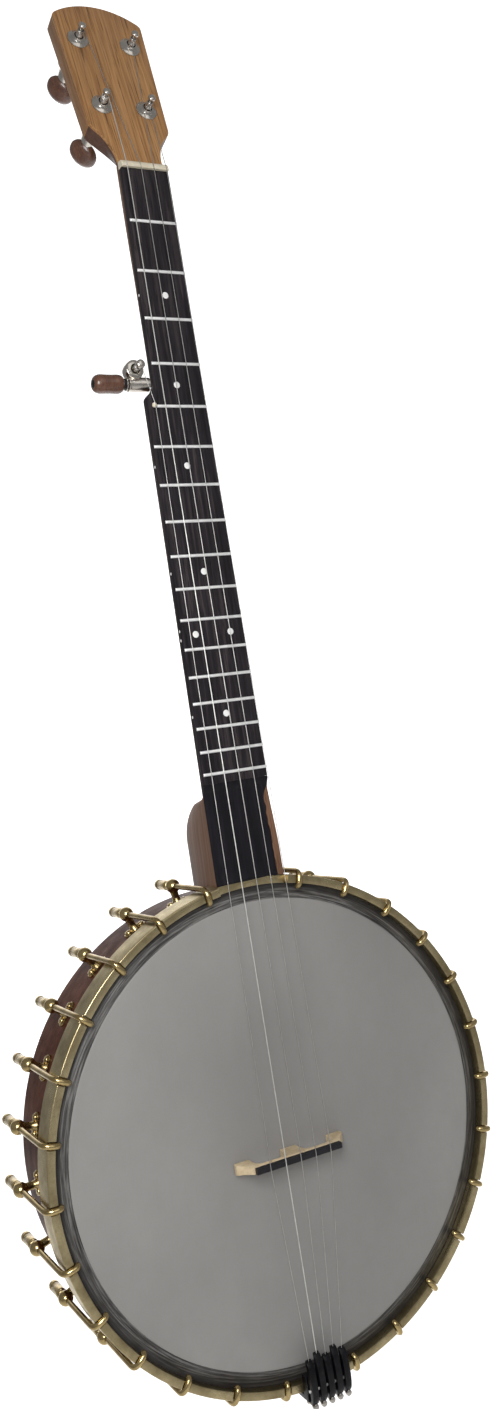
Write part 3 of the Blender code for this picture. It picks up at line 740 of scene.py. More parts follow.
def drilled(shape, name, mat, bevel):
    """A peghead layer with its four peg holes cut."""
    mesh = mesh_of(name, shape, mat)
    body = placed(name + "_body", mesh)
    hole = [(0, -20), (PEG_HOLE_RADIUS, -20), (PEG_HOLE_RADIUS, 6), (0, 6)]
    holes = [turned(hole, 32, on_peghead(x, u, 0), peg_axis()) for x, u in PEG_SPOTS]
    tool = placed("peg_holes", mesh_of("peg_holes", combined(holes), mat))
    cut = body.modifiers.new("holes", "BOOLEAN")
    cut.operation = "DIFFERENCE"
    cut.object = tool
    edge = body.modifiers.new("edges", "BEVEL")
    edge.width = bevel * MM
    edge.segments = 3
    edge.limit_method = "ANGLE"
    edge.angle_limit = math.radians(50)
    bpy.context.view_layer.update()
    made = bpy.data.meshes.new_from_object(
        body.evaluated_get(bpy.context.evaluated_depsgraph_get()))
    bpy.data.objects.remove(body, do_unlink=True)
    bpy.data.objects.remove(tool, do_unlink=True)
    made.name = name
    made.set_sharp_from_angle(angle=math.radians(30))
    return made


def peghead():
    outline = peghead_outline()
    front = [on_peghead(x, u, 0) for x, u in outline]
    normal = peg_axis()
    veneer = prism(front, -normal * 2.2, Vector())
    mesh = drilled(veneer, "peghead_veneer", MATS["light_wood"], 0.35)
    piece("peghead_veneer", mesh)
    upper = [on_peghead(x, u, 0) for x, u in outline if u > 36.5]
    core = prism(upper, -normal * PEGHEAD_THICKNESS, -normal * 2.25)
    # the core's sides wear the light wood darkened with painted shade
    mesh = drilled(core, "peghead_core", MATS["light_wood_painted_shade"], 0.7)
    piece("peghead_core", mesh)
    throat = [(x, u) for x, u in outline if u < 37.5]
    layers = []
    for i in range(9):
        deep = i / 8
        layer = []
        for x, u in throat:
            tuck = 1 - 0.5 * smooth((31 - u) / 22) * deep ** 1.6
            layer.append(on_peghead(PEGHEAD_CENTRE + (x - PEGHEAD_CENTRE) * tuck, u,
                                    -2.25 - (PEGHEAD_THICKNESS - 2.25) * deep))
        layers.append(layer)
    # the throat wears walnut darkened with painted shade
    add("peghead_throat", loft(layers), "cove_walnut_and_shade", "walnut", bevel=0.4, angle=50)


def board_top(distance):
    return FRET_HEIGHT + SCOOP_DEPTH * smooth((SCOOP_START - distance) / SCOOP_RAMP)


def board_ring(distance):
    """The board's section: a slightly rounded top edge over straight sides."""
    left = left_edge(distance)
    narrowing = SCOOP_STRIP * strip_share(distance)
    right = right_edge(distance) - narrowing + 1.2 * smooth(narrowing / SCOOP_STRIP)
    top = board_top(distance)
    bottom = FRET_HEIGHT + BOARD_THICKNESS
    steps = 10
    ring = [on_neck(left, distance, top + 0.5), on_neck(left + 0.35, distance, top)]
    for i in range(1, steps):
        x = left + 0.35 + (right - left - 0.7) * i / steps
        ring.append(on_neck(x, distance, top))
    ring += [on_neck(right - 0.35, distance, top), on_neck(right, distance, top + 0.5),
             on_neck(right, distance, bottom), on_neck(left, distance, bottom)]
    return ring


def fret_distance(number):
    return SCALE_LENGTH * 2 ** (-number / 12)


def fingerboard():
    stations = [150, 155]
    stations += [170 + 6 * i for i in range(10)] + [228 + 0.5 * i for i in range(18)]
    playing = [238, 250, 300, 350, 400, 450, 480]
    playing += [486.5 + 0.75 * i for i in range(13)] + [500, 550, 600, 647.9]
    lower = [board_ring(d) for d in stations if d < 236.5]
    beyond = [ring for ring in lower if min(p.z for p in ring) > HOOP_OUTER + 1]
    lower = [cut_at_hoop(lower[0])] + beyond
    lower.append(board_ring(236.6))
    add("board_scoop", loft(lower), "scoop", "board")
    rings = [board_ring(d) for d in [236.65] + playing]
    add("board_playing_part", loft(rings), "board", "board", replaces=("fingerboard",))
    for number in range(1, FRET_COUNT + 1):
        fret(number)
    dots()


def fret(number):
    """A domed crown on the board, its ends filed at a slant."""
    middle = fret_distance(number)
    left = left_edge(middle) + 0.5
    if number == 5:
        left = FIFTH_PIP[0] + 2.2
    right = right_edge(middle) - 0.15
    dome = []
    for i in range(9):
        turn = math.pi * i / 8
        dome.append((1 * math.cos(turn), FRET_HEIGHT + 0.02 - 0.98 * math.sin(turn)))
    rings = []
    for x, size in ((left, 0.25), (left + 0.35, 0.8), (left + 0.8, 1),
                    (right - 0.8, 1), (right - 0.35, 0.8), (right, 0.25)):
        rings.append([on_neck(x, middle + along, FRET_HEIGHT + (below - FRET_HEIGHT) * size)
                      for along, below in dome])
    add("fret_%02d" % number, loft(rings), "fret_metal", "steel")


def dots():
    """Pearl dots in the playing surface and small white ones along its near side."""
    for number, offsets in ((3, (4,)), (5, (2,)), (7, (0.3,)), (10, (0.3,)),
                            (12, (-12.9, 12.9)), (15, (0.3,))):
        distance = (fret_distance(number) + fret_distance(number - 1)) / 2
        for k, x in enumerate(offsets):
            centre = on_neck(x, distance, FRET_HEIGHT)
            up = on_neck(x, distance, FRET_HEIGHT - 1) - centre
            disc = [(0, -0.8), (2.2, -0.8), (2.2, 0.03), (2.05, 0.09), (0, 0.09)]
            add("dot_%02d_%d" % (number, k + 1), turned(disc, 24, centre, up), "pearl", "bone")
    for number, count in ((3, 1), (7, 1), (10, 1), (12, 2), (15, 1)):
        middle = (fret_distance(number) + fret_distance(number - 1)) / 2
        for k in range(count):
            distance = middle + (k - (count - 1) / 2) * 6
            centre = on_neck(left_edge(distance), distance, FRET_HEIGHT + 2.2)
            disc = [(0, -0.6), (0.95, -0.6), (0.95, 0.02), (0, 0.1)]
            add("side_dot_%02d_%d" % (number, k + 1), turned(disc, 16, centre, (-1, 0, 0)),
                "pearl", "bone")


def nut():
    """Bone, rounded over the back, with a slot under each of the four long strings."""
    start = SCALE_LENGTH + 0.05
    depth = 5
    bottom = FRET_HEIGHT + BOARD_THICKNESS
    left = left_edge(SCALE_LENGTH) + 0.1
    right = right_edge(SCALE_LENGTH) - 0.1
    xs = [left, left + 0.5]
    slots = sorted(STRING_AT_NUT)
    for x in slots:
        for off in (-1.3, -0.42, -0.25, 0.25, 0.42, 1.3):
            xs.append(x + off)
    xs += [right - 0.5, right]
    rings = []
    for x in sorted(xs):
        top = -1.15
        if any(abs(x - s) < 0.3 for s in slots):
            top = -0.35
        edge = min(x - left, right - x)
        if edge < 0.45:
            top += 0.7
        ring = [on_neck(x, start, bottom), on_neck(x, start, top + 0.35),
                on_neck(x, start + 0.3, top)]
        for i in range(1, 7):
            turn = i / 6
            drop = (1 - math.cos(turn * math.pi / 2)) * 3.2
            ring.append(on_neck(x, start + 0.3 + (depth - 0.3) * math.sin(turn * math.pi / 2),
                                top + drop))
        ring.append(on_neck(x, start + depth, bottom))
        rings.append(ring)
    add("nut_bone", loft(rings), "bone", "bone", replaces=("nut",))
    x, distance = FIFTH_PIP
    foot = on_neck(x, distance, FRET_HEIGHT)
    up = on_neck(x, distance, FRET_HEIGHT - 1) - foot
    pip = [(0, -1), (1.3, -1), (1.3, 0.4), (1.6, 0.8), (1.6, 1.4), (1.1, 1.9), (0, 2)]
    add("fifth_string_pip", turned(pip, 24, foot, up), "bone", "bone")


# ---------------------------------------------------------------- pot

def rim():
    inner = RIM_RADIUS - RIM_WALL
    round_over = 2.4
    section = []
    for cx, cy, start in ((inner + round_over, RIM_BACK - round_over, 180),
                          (RIM_RADIUS - round_over, RIM_BACK - round_over, 90)):
        for i in range(6):
            turn = math.radians(start - 18 * i)
            section.append((cx + round_over * math.cos(turn), cy + round_over * math.sin(turn)))
    section += [(RIM_RADIUS, 40), (RIM_RADIUS, 5.6), (150.2, 2.8), (146.4, 1.4), (143, 2.6),
                (inner, 7), (inner, 40)]
    add("rim_shell", ring_about_y(section, 168), "rim_wood", "rim_wood", replaces=("rim",))


def head():
    """The film up to its crown, then the darker pressed collar and its hoop."""
    film = [(0, 0)] + [(14.7 * i, 0) for i in range(1, 10)]
    film += [(144, 0), (146.2, 0), (147.2, 0.06), (147.8, 0.22), (147.6, 0.9),
             (146, 0.8), (0, 0.8)]
    shape = turned(film, 168, Vector(), (0, 1, 0), side=(0, 0, 1))
    add("head_film", shape, "film", "head_film", replaces=("head",))
    collar = [(147.85, 0.16), (148.9, 0.3), (149.7, 0.42), (150, 0.75), (150.9, 0.82),
              (151.4, 1.15), (152.2, 1.25), (152.8, 1.7), (154.4, 1.86), (157.3, 1.95),
              (159.2, 2), (159.3, 2.2), (159.3, 8.2), (153.3, 8.2), (153.1, 3.4),
              (150.8, 2.3), (147.9, 1.1)]
    add("head_collar", ring_about_y(collar, 168), "collar", "head_film")


def hook_angles():
    """Clockwise from the neck: down one side to the tailpiece and up the other."""
    right = [FIRST_HOOK + HOOK_PITCH * i for i in range(HOOKS_PER_SIDE)]
    return right + [-turn for turn in reversed(right)]


def hoop_section(front):
    """The hoop's section with its front face at the given Y; its front corners and outer back
    corner are eased.
    """
    skirt = HOOP_INNER + 2.3
    lip = 1.6
    corner = 0.8
    points = [(HOOP_INNER, lip), (HOOP_INNER, front + 0.5), (HOOP_INNER + 0.15, front + 0.15),
              (HOOP_INNER + 0.5, front), (HOOP_OUTER - corner, front)]
    for i in range(1, 4):
        turn = math.pi / 2 * i / 4
        points.append((HOOP_OUTER - corner * (1 - math.sin(turn)),
                       front + corner * (1 - math.cos(turn))))
    points += [(HOOP_OUTER, front + corner), (HOOP_OUTER, HOOP_BACK - 1.3),
               (HOOP_OUTER - 0.9, HOOP_BACK), (skirt, HOOP_BACK), (skirt, lip)]
    return points


def tension_hoop():
    """Swept round the pot, its front dropped in every notch and along the neck."""
    cut_angle = math.asin(HOOP_CUT_HALF / HOOP_OUTER)
    edge = 0.25 / HOOP_OUTER
    stations = [(cut_angle * share / 6, 0) for share in range(-6, 7)]
    stations += [(-cut_angle - edge, HOOP_FRONT), (cut_angle + edge, HOOP_FRONT)]
    side = [(0, NOTCH_FLOOR), (NOTCH_HALF - 0.15, NOTCH_FLOOR), (NOTCH_HALF, HOOP_FRONT + 0.3),
            (NOTCH_HALF + 0.2, HOOP_FRONT + 0.05), (NOTCH_HALF + 0.6, HOOP_FRONT)]
    notch = [(-arc, front) for arc, front in reversed(side[1:])] + side
    hooks = hook_angles()
    for middle in hooks:
        stations += [(middle + arc / HOOP_OUTER, front) for arc, front in notch]
    fillers = 168
    for i in range(fillers):
        angle = math.pi * (2 * i / fillers - 1)
        clear = min(abs(angle - middle) for middle in hooks) * HOOP_OUTER
        if clear > NOTCH_HALF + 1 and abs(angle) > cut_angle + 0.01:
            stations.append((angle, HOOP_FRONT))
    stations.sort()
    rings = [radial_section(hoop_section(front), angle) for angle, front in stations]
    add("hoop", loft(rings, closed=True), "hoop_brass", "brass", replaces=("tension_hoop",),
        angle=28)


def hook_mesh():
    """A bent wire whose claw lies in the hoop's notch and curls over its inner edge."""
    path = smooth_path([Vector((0, y, r)) for r, y in (
        (155.7, -2.7), (156.7, -4.2), (158.8, -4.75), (161.6, -4.65), (163.9, -3.6),
        (165.2, -1.3), (165.5, 3), (165.5, 14), (165.5, 28), (SHOE_RADIUS, SHOE_Y))], 5)
    radii = []
    for i in range(len(path)):
        radii.append(2.15 - 0.3 * smooth(i / 26))
    return mesh_of("hook", tube(path, radii, 16), MATS["hook_brass"], angle=60)


def shoe_mesh():
    """A ball on a short neck over a base plate with two round lobes."""
    seat = RIM_RADIUS + 0.1
    ball = [(0, -4.9)]
    steps = 12
    for i in range(1, steps):
        turn = math.pi * i / steps
        ball.append((4.8 * math.sin(turn), -4.9 * math.cos(turn)))
    ball.append((0, 4.9))
    shapes = [turned(ball, 28, Vector((0, SHOE_Y, SHOE_RADIUS)), (0, 1, 0))]
    neck_profile = [(0, 0), (3.8, 0), (3.6, 1.2), (2.7, 2.6), (2.5, 5), (2.8, 9), (0, 10)]
    plate_y = SHOE_Y + 1.5
    shapes.append(turned(neck_profile, 20, Vector((0, plate_y, seat + 0.6)), (0, 0, 1)))
    for side in (-1, 1):
        lobe = [(0, -0.5), (3.4, -0.5), (3.5, 0.6), (3.3, 1.3), (2.9, 1.5), (2.5, 1.5),
                (2.5, 2.2), (2.2, 2.7), (1.7, 2.8), (1.4, 2.6), (1, 3.1), (0, 3.2)]
        spot = Vector((side * 5, plate_y, math.sqrt(seat ** 2 - 25)))
        shapes.append(turned(lobe, 20, spot, spot - Vector((0, plate_y, 0))))
    bar = box((-5, plate_y - 1.9, seat - 0.3), (5, plate_y + 1.9, seat + 1.2))
    shapes.append(bar)
    return mesh_of("shoe", combined(shapes), MATS["hook_brass"], angle=40)


def hook_nut_mesh():
    """A round nut with a collar, a groove, a lip and a socket in its end."""
    profile = [(0, 0), (2.6, 0), (3.4, 0.5), (3.6, 1.2), (3.6, 2.8), (3.15, 3.2), (3.1, 3.8),
               (3.45, 4.2), (3.45, 14.2), (3.15, 14.6), (3.15, 15.2), (3.55, 15.6), (3.6, 17.8),
               (3.3, 18.6), (2.8, 18.9), (2.35, 18.8), (2.25, 18.3), (2.25, 14), (0, 13.6)]
    return mesh_of("hook_nut", turned(profile, 20, Vector((0, NUT_Y, SHOE_RADIUS)), (0, 1, 0)),
                   MATS["hook_brass"], angle=40)


def socket_shade_mesh():
    """A black disc in the bottom of the nut's socket: painted shade over the hook's threaded end,
    seen down the socket.
    """
    profile = [(0, 0), (2.15, 0), (2.15, 1.6), (1.6, 2.2), (0, 2.4)]
    foot = Vector((0, NUT_Y + 13.7, SHOE_RADIUS))
    return mesh_of("socket_painted_shade", turned(profile, 12, foot, (0, 1, 0)), MATS["black"], angle=40)


def eased(profile, steps=4):
    """The same profile with a smooth curve through its points."""
    path = smooth_path([Vector((r, h, 0)) for r, h in profile], steps)
    return [(max(p.x, 0), p.y) for p in path]


def brackets():
    """Every hook, shoe and nut is one shared mesh, turned about the pot's axis."""
    # the last of these meshes is a black disc of painted shade in each nut's socket
    meshes = (("hook", hook_mesh()), ("shoe", shoe_mesh()), ("hook_nut", hook_nut_mesh()),
              ("socket_painted_shade", socket_shade_mesh()))
    centre = Matrix.Translation(CENTRE)
    for number, angle in enumerate(hook_angles(), start=1):
        spin = centre @ Matrix.Rotation(angle, 4, "Y") @ centre.inverted()
        for kind, mesh in meshes:
            replaced = ("bracket_%02d" % number,) if kind == "hook" else ()
            piece("%s_%02d" % (kind, number), mesh, replaces=replaced, place=spin)


def rod():
    """The coordinator rod, threaded at its ends, with a nut and a washer at each."""
    reach = 132.9
    shaft = [(0, -reach)]
    threads = 14
    for i in range(threads):
        shaft += [(3.5, -reach + 0.2 + 1.5 * i), (4, -reach + 0.95 + 1.5 * i)]
    shaft += [(4, -reach + 22), (4, reach - 22)]
    for i in range(threads):
        shaft += [(4, reach - 21.2 + 1.5 * i), (3.5, reach - 20.45 + 1.5 * i)]
    shaft.append((0, reach))
    add("rod_shaft", turned(shaft, 24, Vector((0, ROD_Y, 0)), (0, 0, 1)), "steel",
        "steel", replaces=("coordinator_rod",), angle=25)
    for end, name in ((1, "upper"), (-1, "lower")):
        washer = [(0, 0), (6.25, 0), (6.25, 1.2), (6, 1.4), (0, 1.4)]
        spot = Vector((0, ROD_Y, end * 132.8))
        add("rod_washer_" + name, turned(washer, 32, spot, (0, 0, -end)), "steel", "steel")
        hexagon = [(0, 1.45), (5.6, 1.45), (6.1, 1.9), (6.1, 6.2), (5.6, 6.7), (0, 6.7)]
        add("rod_nut_" + name, turned(hexagon, 6, spot, (0, 0, -end)), "steel", "steel", bevel=0.3)


# ---------------------------------------------------------------- tuners

def peg_axis():
    return on_peghead(0, 0, 1) - on_peghead(0, 0, 0)


def windings(name, centre, axis, radius, wire, start, turns, spin, look, body):
    """A string's turns round a post, as one coil laid side by side."""
    axis = Vector(axis).normalized()
    side = Vector((1, 0, 0))
    side = (side - axis * side.dot(axis)).normalized()
    across = axis.cross(side)
    path = []
    steps = 14
    for i in range(int(turns * steps) + 1):
        turn = 2 * math.pi * i / steps * spin
        height = start - i / steps * wire * 2.1
        path.append(centre + axis * height
                    + (side * math.cos(turn) + across * math.sin(turn)) * (radius + wire))
    add(name, tube(path, wire, 8), look, "string_wire", body, angle=60)


def pegs():
    axis = peg_axis()
    under = -PEGHEAD_THICKNESS
    strings = {1: 3, 2: 2, 3: 4, 4: 1}
    for number, (x, u) in enumerate(PEG_SPOTS, start=1):
        spot = on_peghead(x, u, 0)
        bushing = [(0, -4), (3.9, -4), (3.9, 0.05), (7.5, 0.05), (7.6, 0.4), (7.4, 0.8),
                   (6.8, 1.05), (5.8, 1.5), (5, 2.2), (4.4, 2.85), (3.8, 3.15), (3.3, 3.15),
                   (3.15, 2.7), (3.15, -3), (0, -3.2)]
        add("peg_%d_bushing" % number, turned(bushing, 40, spot, axis), "nickel", "nickel")
        body = [(0, -31.4), (4.2, -31.4), (4.8, -31), (5, -30.2), (5.35, -24.6),
                (5.9, -23.4), (7.5, -21.5), (8, -20.6), (8, -18.6), (7.6, -18.3),
                (7.6, -17.8), (8, -17.5), (8, under - 1.2), (7.5, under - 0.7),
                (7.3, under - 0.1), (0, under - 0.1)]
        add("peg_%d_gear_case" % number, turned(body, 40, spot, axis), "nickel", "nickel",
            replaces=("peg_%d_housing" % number,))
        post = [(0, -2.6), (2.6, -2.6), (2.65, 3.4), (2.5, 3.9), (1.9, 5), (1.65, 6),
                (1.6, 8.4), (1.9, 9.2), (2.4, 9.9), (2.6, 10.5), (2.6, 11.2), (2.3, 11.8),
                (1.6, 12.15), (0, 12.3)]
        add("peg_%d_capstan" % number, turned(post, 32, spot, axis), "nickel", "nickel",
            "peg_%d_post" % number, ("peg_%d_post" % number,), angle=50)
        string = strings[number]
        look = "wound" if string == 4 else "wire"
        spin = 1 if x < PEGHEAD_CENTRE else -1
        windings("peg_%d_winding" % number, spot, axis, 1.7, STRING_RADII[string - 1], 7.9,
                 3.2, spin, look, "peg_%d_post" % number)
        peg_button(number, spot, axis)


def peg_button(number, spot, axis):
    """An oval grip, flattened across the peghead's diagonal, under a nickel ferrule."""
    body = "peg_%d_button" % number
    up = on_peghead(0, 1, 0) - on_peghead(0, 0, 0)
    broad = Vector((1, 0, 0)) - up
    grip = eased([(3.6, -32.5), (4.3, -33.1), (7.6, -35), (10, -38.2), (10.6, -41.6),
                  (9.9, -45.2), (7.2, -48.3), (3.6, -50), (1.2, -50.35)])
    shape = turned([(0, -32.4)] + grip + [(0, -50.4)], 40, spot, axis, broad, 0.5)
    add("peg_%d_grip" % number, shape, "button", "button", body, (body,), angle=60)
    ferrule = [(0, -31.45), (3.5, -31.45), (3.7, -31.8), (3.6, -32.4), (2, -32.9), (0, -33)]
    add("peg_%d_ferrule" % number, turned(ferrule, 24, spot, axis), "nickel", "nickel", body)


def fifth_peg():
    out = Vector((-1, 0, 0))
    front = Vector((0, -1, 0))
    barrel = [(0, 6), (4.7, 6), (4.75, 18.6), (4.5, 19), (4.5, 19.5), (4.75, 19.9),
              (4.6, 20.6), (4.1, 20.9), (0, 20.95)]
    add("fifth_peg_barrel", turned(barrel, 36, FIFTH_PEG, out), "nickel", "nickel",
        replaces=("fifth_peg_housing",))
    drum = [(0, -4.4), (5.6, -4.4), (6.3, -3.7), (6.4, -3), (6.4, 2.6), (6, 3.4),
            (5, 3.9), (3.4, 4), (3.2, 3.4), (3.2, -1.4), (0, -1.6)]
    add("fifth_peg_drum", turned(drum, 40, FIFTH_POST, front), "nickel", "nickel")
    post = [(0, -1.2), (2.6, -1.2), (2.65, 4.4), (2.5, 4.9), (2, 6.2), (1.85, 7),
            (1.85, 9), (2.3, 10.2), (2.9, 11.2), (3, 12), (2.9, 12.8), (2.2, 13.45),
            (1.2, 13.7), (0, 13.75)]
    add("fifth_peg_capstan", turned(post, 32, FIFTH_POST, front), "nickel", "nickel",
        "fifth_peg_post", ("fifth_peg_post",), angle=50)
    windings("fifth_peg_winding", FIFTH_POST, front, 1.9, STRING_RADII[4], 8.6, 3.2, -1,
             "wire", "fifth_peg_post")
    washer = [(0, 21.3), (3.9, 21.3), (4.2, 21.6), (4.2, 22.1), (3.9, 22.4), (0, 22.4)]
    add("fifth_peg_washer", turned(washer, 32, FIFTH_PEG, out), "nickel", "nickel",
        "fifth_peg_button")
    collar = [(0, 22.45), (3.4, 22.45), (3.7, 22.9), (3.6, 23.8), (3.8, 24.3), (0, 24.3)]
    add("fifth_peg_collar", turned(collar, 32, FIFTH_PEG, out), "ebony", "button",
        "fifth_peg_button")
    grip = eased([(4, 24.35), (5, 25), (5.9, 26.6), (6.2, 28.8), (6.05, 34),
                  (6.2, 39.4), (6, 41.8), (5.2, 43.9), (3.9, 45), (3, 45.25)], 3)
    add("fifth_peg_grip", turned([(0, 24.3)] + grip + [(0, 45.3)], 40, FIFTH_PEG, out),
        "button", "button", "fifth_peg_button", ("fifth_peg_button",), angle=50)
    screw = [(0, 44.8), (2.7, 44.8), (2.8, 45.25), (2.2, 45.5), (1, 45.55), (0.7, 45.35),
             (0, 45.3)]
    add("fifth_peg_screw", turned(screw, 20, FIFTH_PEG, out), "black", "black_metal",
        "fifth_peg_button")


# ---------------------------------------------------------------- tailpiece and bridge

def finger_x(number):
    return (3 - number) * FINGER_PITCH


def finger_tip(number):
    return -137.5 if number % 2 == 0 else -140.5


def side_prism(side, half, x=0):
    outline = [Vector((x, y, z)) for z, y in side]
    width = Vector((half, 0, 0))
    return prism(outline, -width, width)


def tailpiece():
    top = -10
    half = 15.4
    front = HOOP_FRONT - 0.2
    outside = -(HOOP_OUTER + 0.25)
    saddle = [(-150.5, front), (outside, front), (outside, 2), (-166.3, 2), (-166.3, top),
              (-161.2, top), (-160, -10.9), (-156, -10.9), (-154.8, top), (-150.5, top)]
    add("tailpiece_saddle", side_prism(saddle, half), "black", "black_metal",
        replaces=("tailpiece_frame",), bevel=0.5, segments=3)
    leg = [(outside, 2), (outside, 46), (-166.3, 46), (-166.3, 2)]
    add("tailpiece_leg", side_prism(leg, 7), "black", "black_metal", bevel=0.6, segments=3)
    foot = Vector((0, ROD_Y, -(RIM_RADIUS + 0.15)))
    stud = [(0, 0), (5, 0), (5, 1.2), (3.2, 1.6), (3.2, 10.5), (0, 10.5)]
    add("tailpiece_stud", turned(stud, 28, foot, (0, 0, -1)), "steel", "steel")
    nut_profile = [(0, 13.4), (4.6, 13.4), (5, 13.7), (5, 16.9), (4.4, 17.5), (2.4, 17.7),
                   (0, 17.7)]
    add("tailpiece_nut", turned(nut_profile, 6, foot, (0, 0, -1)), "nickel", "nickel", bevel=0.3)
    pin = [(0, -half - 0.1), (1, -half - 0.1), (1, half + 0.1), (0, half + 0.1)]
    add("tailpiece_pin", turned(pin, 20, Vector((0, PIVOT_Y, PIVOT_Z)), (1, 0, 0)),
        "steel", "steel", bevel=0.2)
    for number in range(1, 6):
        finger(number)


def finger(number):
    """A black lever with a rounded nose, and the small bright screw that sets it."""
    tip = finger_tip(number)
    x = finger_x(number)
    body = "finger_%d" % number
    side = [(tip + 0.9, -10.7), (tip, -11.2), (tip, -12), (tip - 0.8, -12.8), (-144, -14.3),
            (-150, -15.2), (-156, -15.6), (-161, -15.3), (-164.4, -14.5),
            (-166.6, -13.4), (-167.4, -12.4), (-167.2, -11.5), (-158, -11.75),
            (-148, -11.4), (-143, -10.9)]
    add("tailpiece_lever_%d" % number, side_prism(side, 2.15, x), "black", "black_metal", body,
        ("tailpiece_finger_%d" % number,), bevel=0.55, segments=3)
    screw = [(0, 0), (1.3, 0.1), (1.9, 0.5), (2.05, 1.1), (2.05, 2.6), (1.8, 3.1),
             (1.2, 3.3), (1.2, 8.4), (1.7, 8.8), (1.7, 9.4), (0, 9.5)]
    foot = Vector((x, -14.2, -168.5))
    add("tailpiece_screw_%d" % number, turned(screw, 24, foot, (0, 1, 0)), "nickel",
        "nickel", body)


def bridge():
    """A maple body on three feet under a dark cap that the strings are notched into."""
    half = [(0, -0.25), (5.8, -0.25), (6.1, -0.6), (6.2, -4.4), (7, -6.8), (8.8, -8.6),
            (11.4, -9.3), (17.5, -9.5), (23.6, -9.3), (26.2, -8.6), (28, -6.8), (28.8, -4.4),
            (28.9, -0.6), (29.2, -0.25), (39.4, -0.25), (40, -0.8), (40, -3.4),
            (39, -4.6), (36.6, -6.4), (34.2, -9.6), (32.4, -12.6)]
    outline = half + [(-x, y) for x, y in reversed(half[1:])]
    rings = []
    for share in (-1, -0.9, 0.9, 1):
        ring = []
        for x, y in outline:
            thick = 3.45 + 0.11 * y
            ring.append(Vector((x, y, BRIDGE_Z + share * thick)))
        rings.append(ring)
    add("bridge_body", loft(rings), "maple", "maple", replaces=("bridge",), bevel=0.25, segments=2,
        angle=30)
    stations = [-31.6, -31.2]
    for x in sorted(STRING_AT_BRIDGE):
        stations += [x - 1.2, x - 0.45, x - 0.2, x + 0.2, x + 0.45, x + 1.2]
    stations += [31.2, 31.6]
    rings = []
    for x in stations:
        top = BRIDGE_TOP
        if any(abs(x - s) < 0.3 for s in STRING_AT_BRIDGE):
            top += 0.28
        if abs(x) > 31.5:
            top += 0.4
        ring = []
        for z, y in ((-2.05, -12.65), (-1.75, top + 0.35), (-1.35, top), (1.35, top),
                     (1.75, top + 0.35), (2.05, -12.65)):
            ring.append(Vector((x, y, BRIDGE_Z + z)))
        rings.append(ring)
    add("bridge_cap", loft(rings), "ebony", "board", angle=30)


# ---------------------------------------------------------------- strings

def string_wire(number):
    """The speaking length and the run up to the post, on the fixed body."""
    radius = STRING_RADII[number - 1]
    over = BRIDGE_TOP - radius + 0.1
    at_bridge = STRING_AT_BRIDGE[number - 1]
    route = [Vector((at_bridge, over, BRIDGE_Z - 1.5)), Vector((at_bridge, over, BRIDGE_Z + 1.5))]
    if number == 5:
        x, distance = FIFTH_PIP
        route.append(on_neck(x + 0.2, distance, -1.2))
        route.append(on_neck(x, distance + 1.2, -1.1))
        aside = Vector((1.9 + radius, 0, 0))
        route.append(FIFTH_POST + Vector((0, -8.6, 0)) + aside)
    else:
        x = STRING_AT_NUT[number - 1]
        route.append(on_neck(x, SCALE_LENGTH - 0.2, -0.75))
        route.append(on_neck(x, SCALE_LENGTH + 1.2, -0.7))
        peg = (4, 2, 1, 3)[number - 1]
        peg_x, peg_u = PEG_SPOTS[peg - 1]
        inward = math.copysign(1.7 + radius, PEGHEAD_CENTRE - peg_x)
        route.append(on_peghead(peg_x + inward, peg_u, 7.9))
    look = "wound" if number == 4 else "wire"
    add("string_%d_wire" % number, tube(route, radius, 10), look, "string_wire",
        replaces=("string_%d" % number,), angle=60)


def string_tail(number):
    """The short length behind the bridge, straight from the bridge to its finger's tip."""
    radius = STRING_RADII[number - 1]
    start = Vector((STRING_AT_BRIDGE[number - 1], BRIDGE_TOP - radius + 0.1, BRIDGE_Z - 1.45))
    end = Vector((finger_x(number), -11.75, finger_tip(number) + 0.2))
    steps = 24
    path = [start.lerp(end, i / steps) for i in range(steps + 1)]
    look = "wound" if number == 4 else "wire"
    name = "string_%d_tail" % number
    mesh = mesh_of(name, tube(path, radius, 10), MATS[look], angle=60)
    obj = placed(name, mesh)
    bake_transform(obj)


# ---------------------------------------------------------------- stage

FLOOR_DROP = 0.22               # of the floor under the banjo, in metres like the rest here
WALL_GAP = 3.2
FLOOR_REACH = 5.2               # forward of the wall
STAGE_SIDES = (-1.3, 4.6)
STAGE_BEND = 0.6                # radius between floor and wall
WALL_HEIGHT = 4.4
WORLD_STRENGTH = 0.3
KEY_OFFSET = Vector((-0.42, -0.6, 0.42))
KEY_SIZE = (0.3, 0.45)
KEY_POWER = 5.6
FILL_OFFSET = Vector((0.3, -1.8, 0.9))
FILL_SIZE = (1, 1.4)
FILL_POWER = 4
CAMERA_PLACE = (-351.2, -641.9, 250)  # millimetres from the middle of the drum head
CAMERA_FORWARD = Vector((0.4286182, 0.90333298, 0.01661198))
CAMERA_UP = Vector((0.1170951, -0.07377259, 0.99037687))
CAMERA_LENS = 28.791058
CAMERA_SHIFT = (0.059545778, 0.021689141)


def stage_material():
    """White paper with its tooth; the far part of the sweep glows as if lit from behind."""
    n = Nodes("studio_paper", 0.9)
    n.shader.inputs["Emission Color"].default_value = (1, 1, 1, 1)
    tooth = n.noise(n.coords(), 60, 3, 0.5)
    n.feed("Base Color", n.ramp(tooth, ((0.3, (0.88, 0.88, 0.88)), (0.7, (0.92, 0.92, 0.92)))))
    split = n.add("SeparateXYZ")
    n.link(n.coords(), split.inputs[0])
    far = n.span(split.outputs[1], -0.15, 0.3, 0, 1)
    aside = n.span(split.outputs[0], -0.7, 0, 0, 0.95)
    n.feed("Emission Strength", n.math("MULTIPLY", far, aside))
    return n.mat


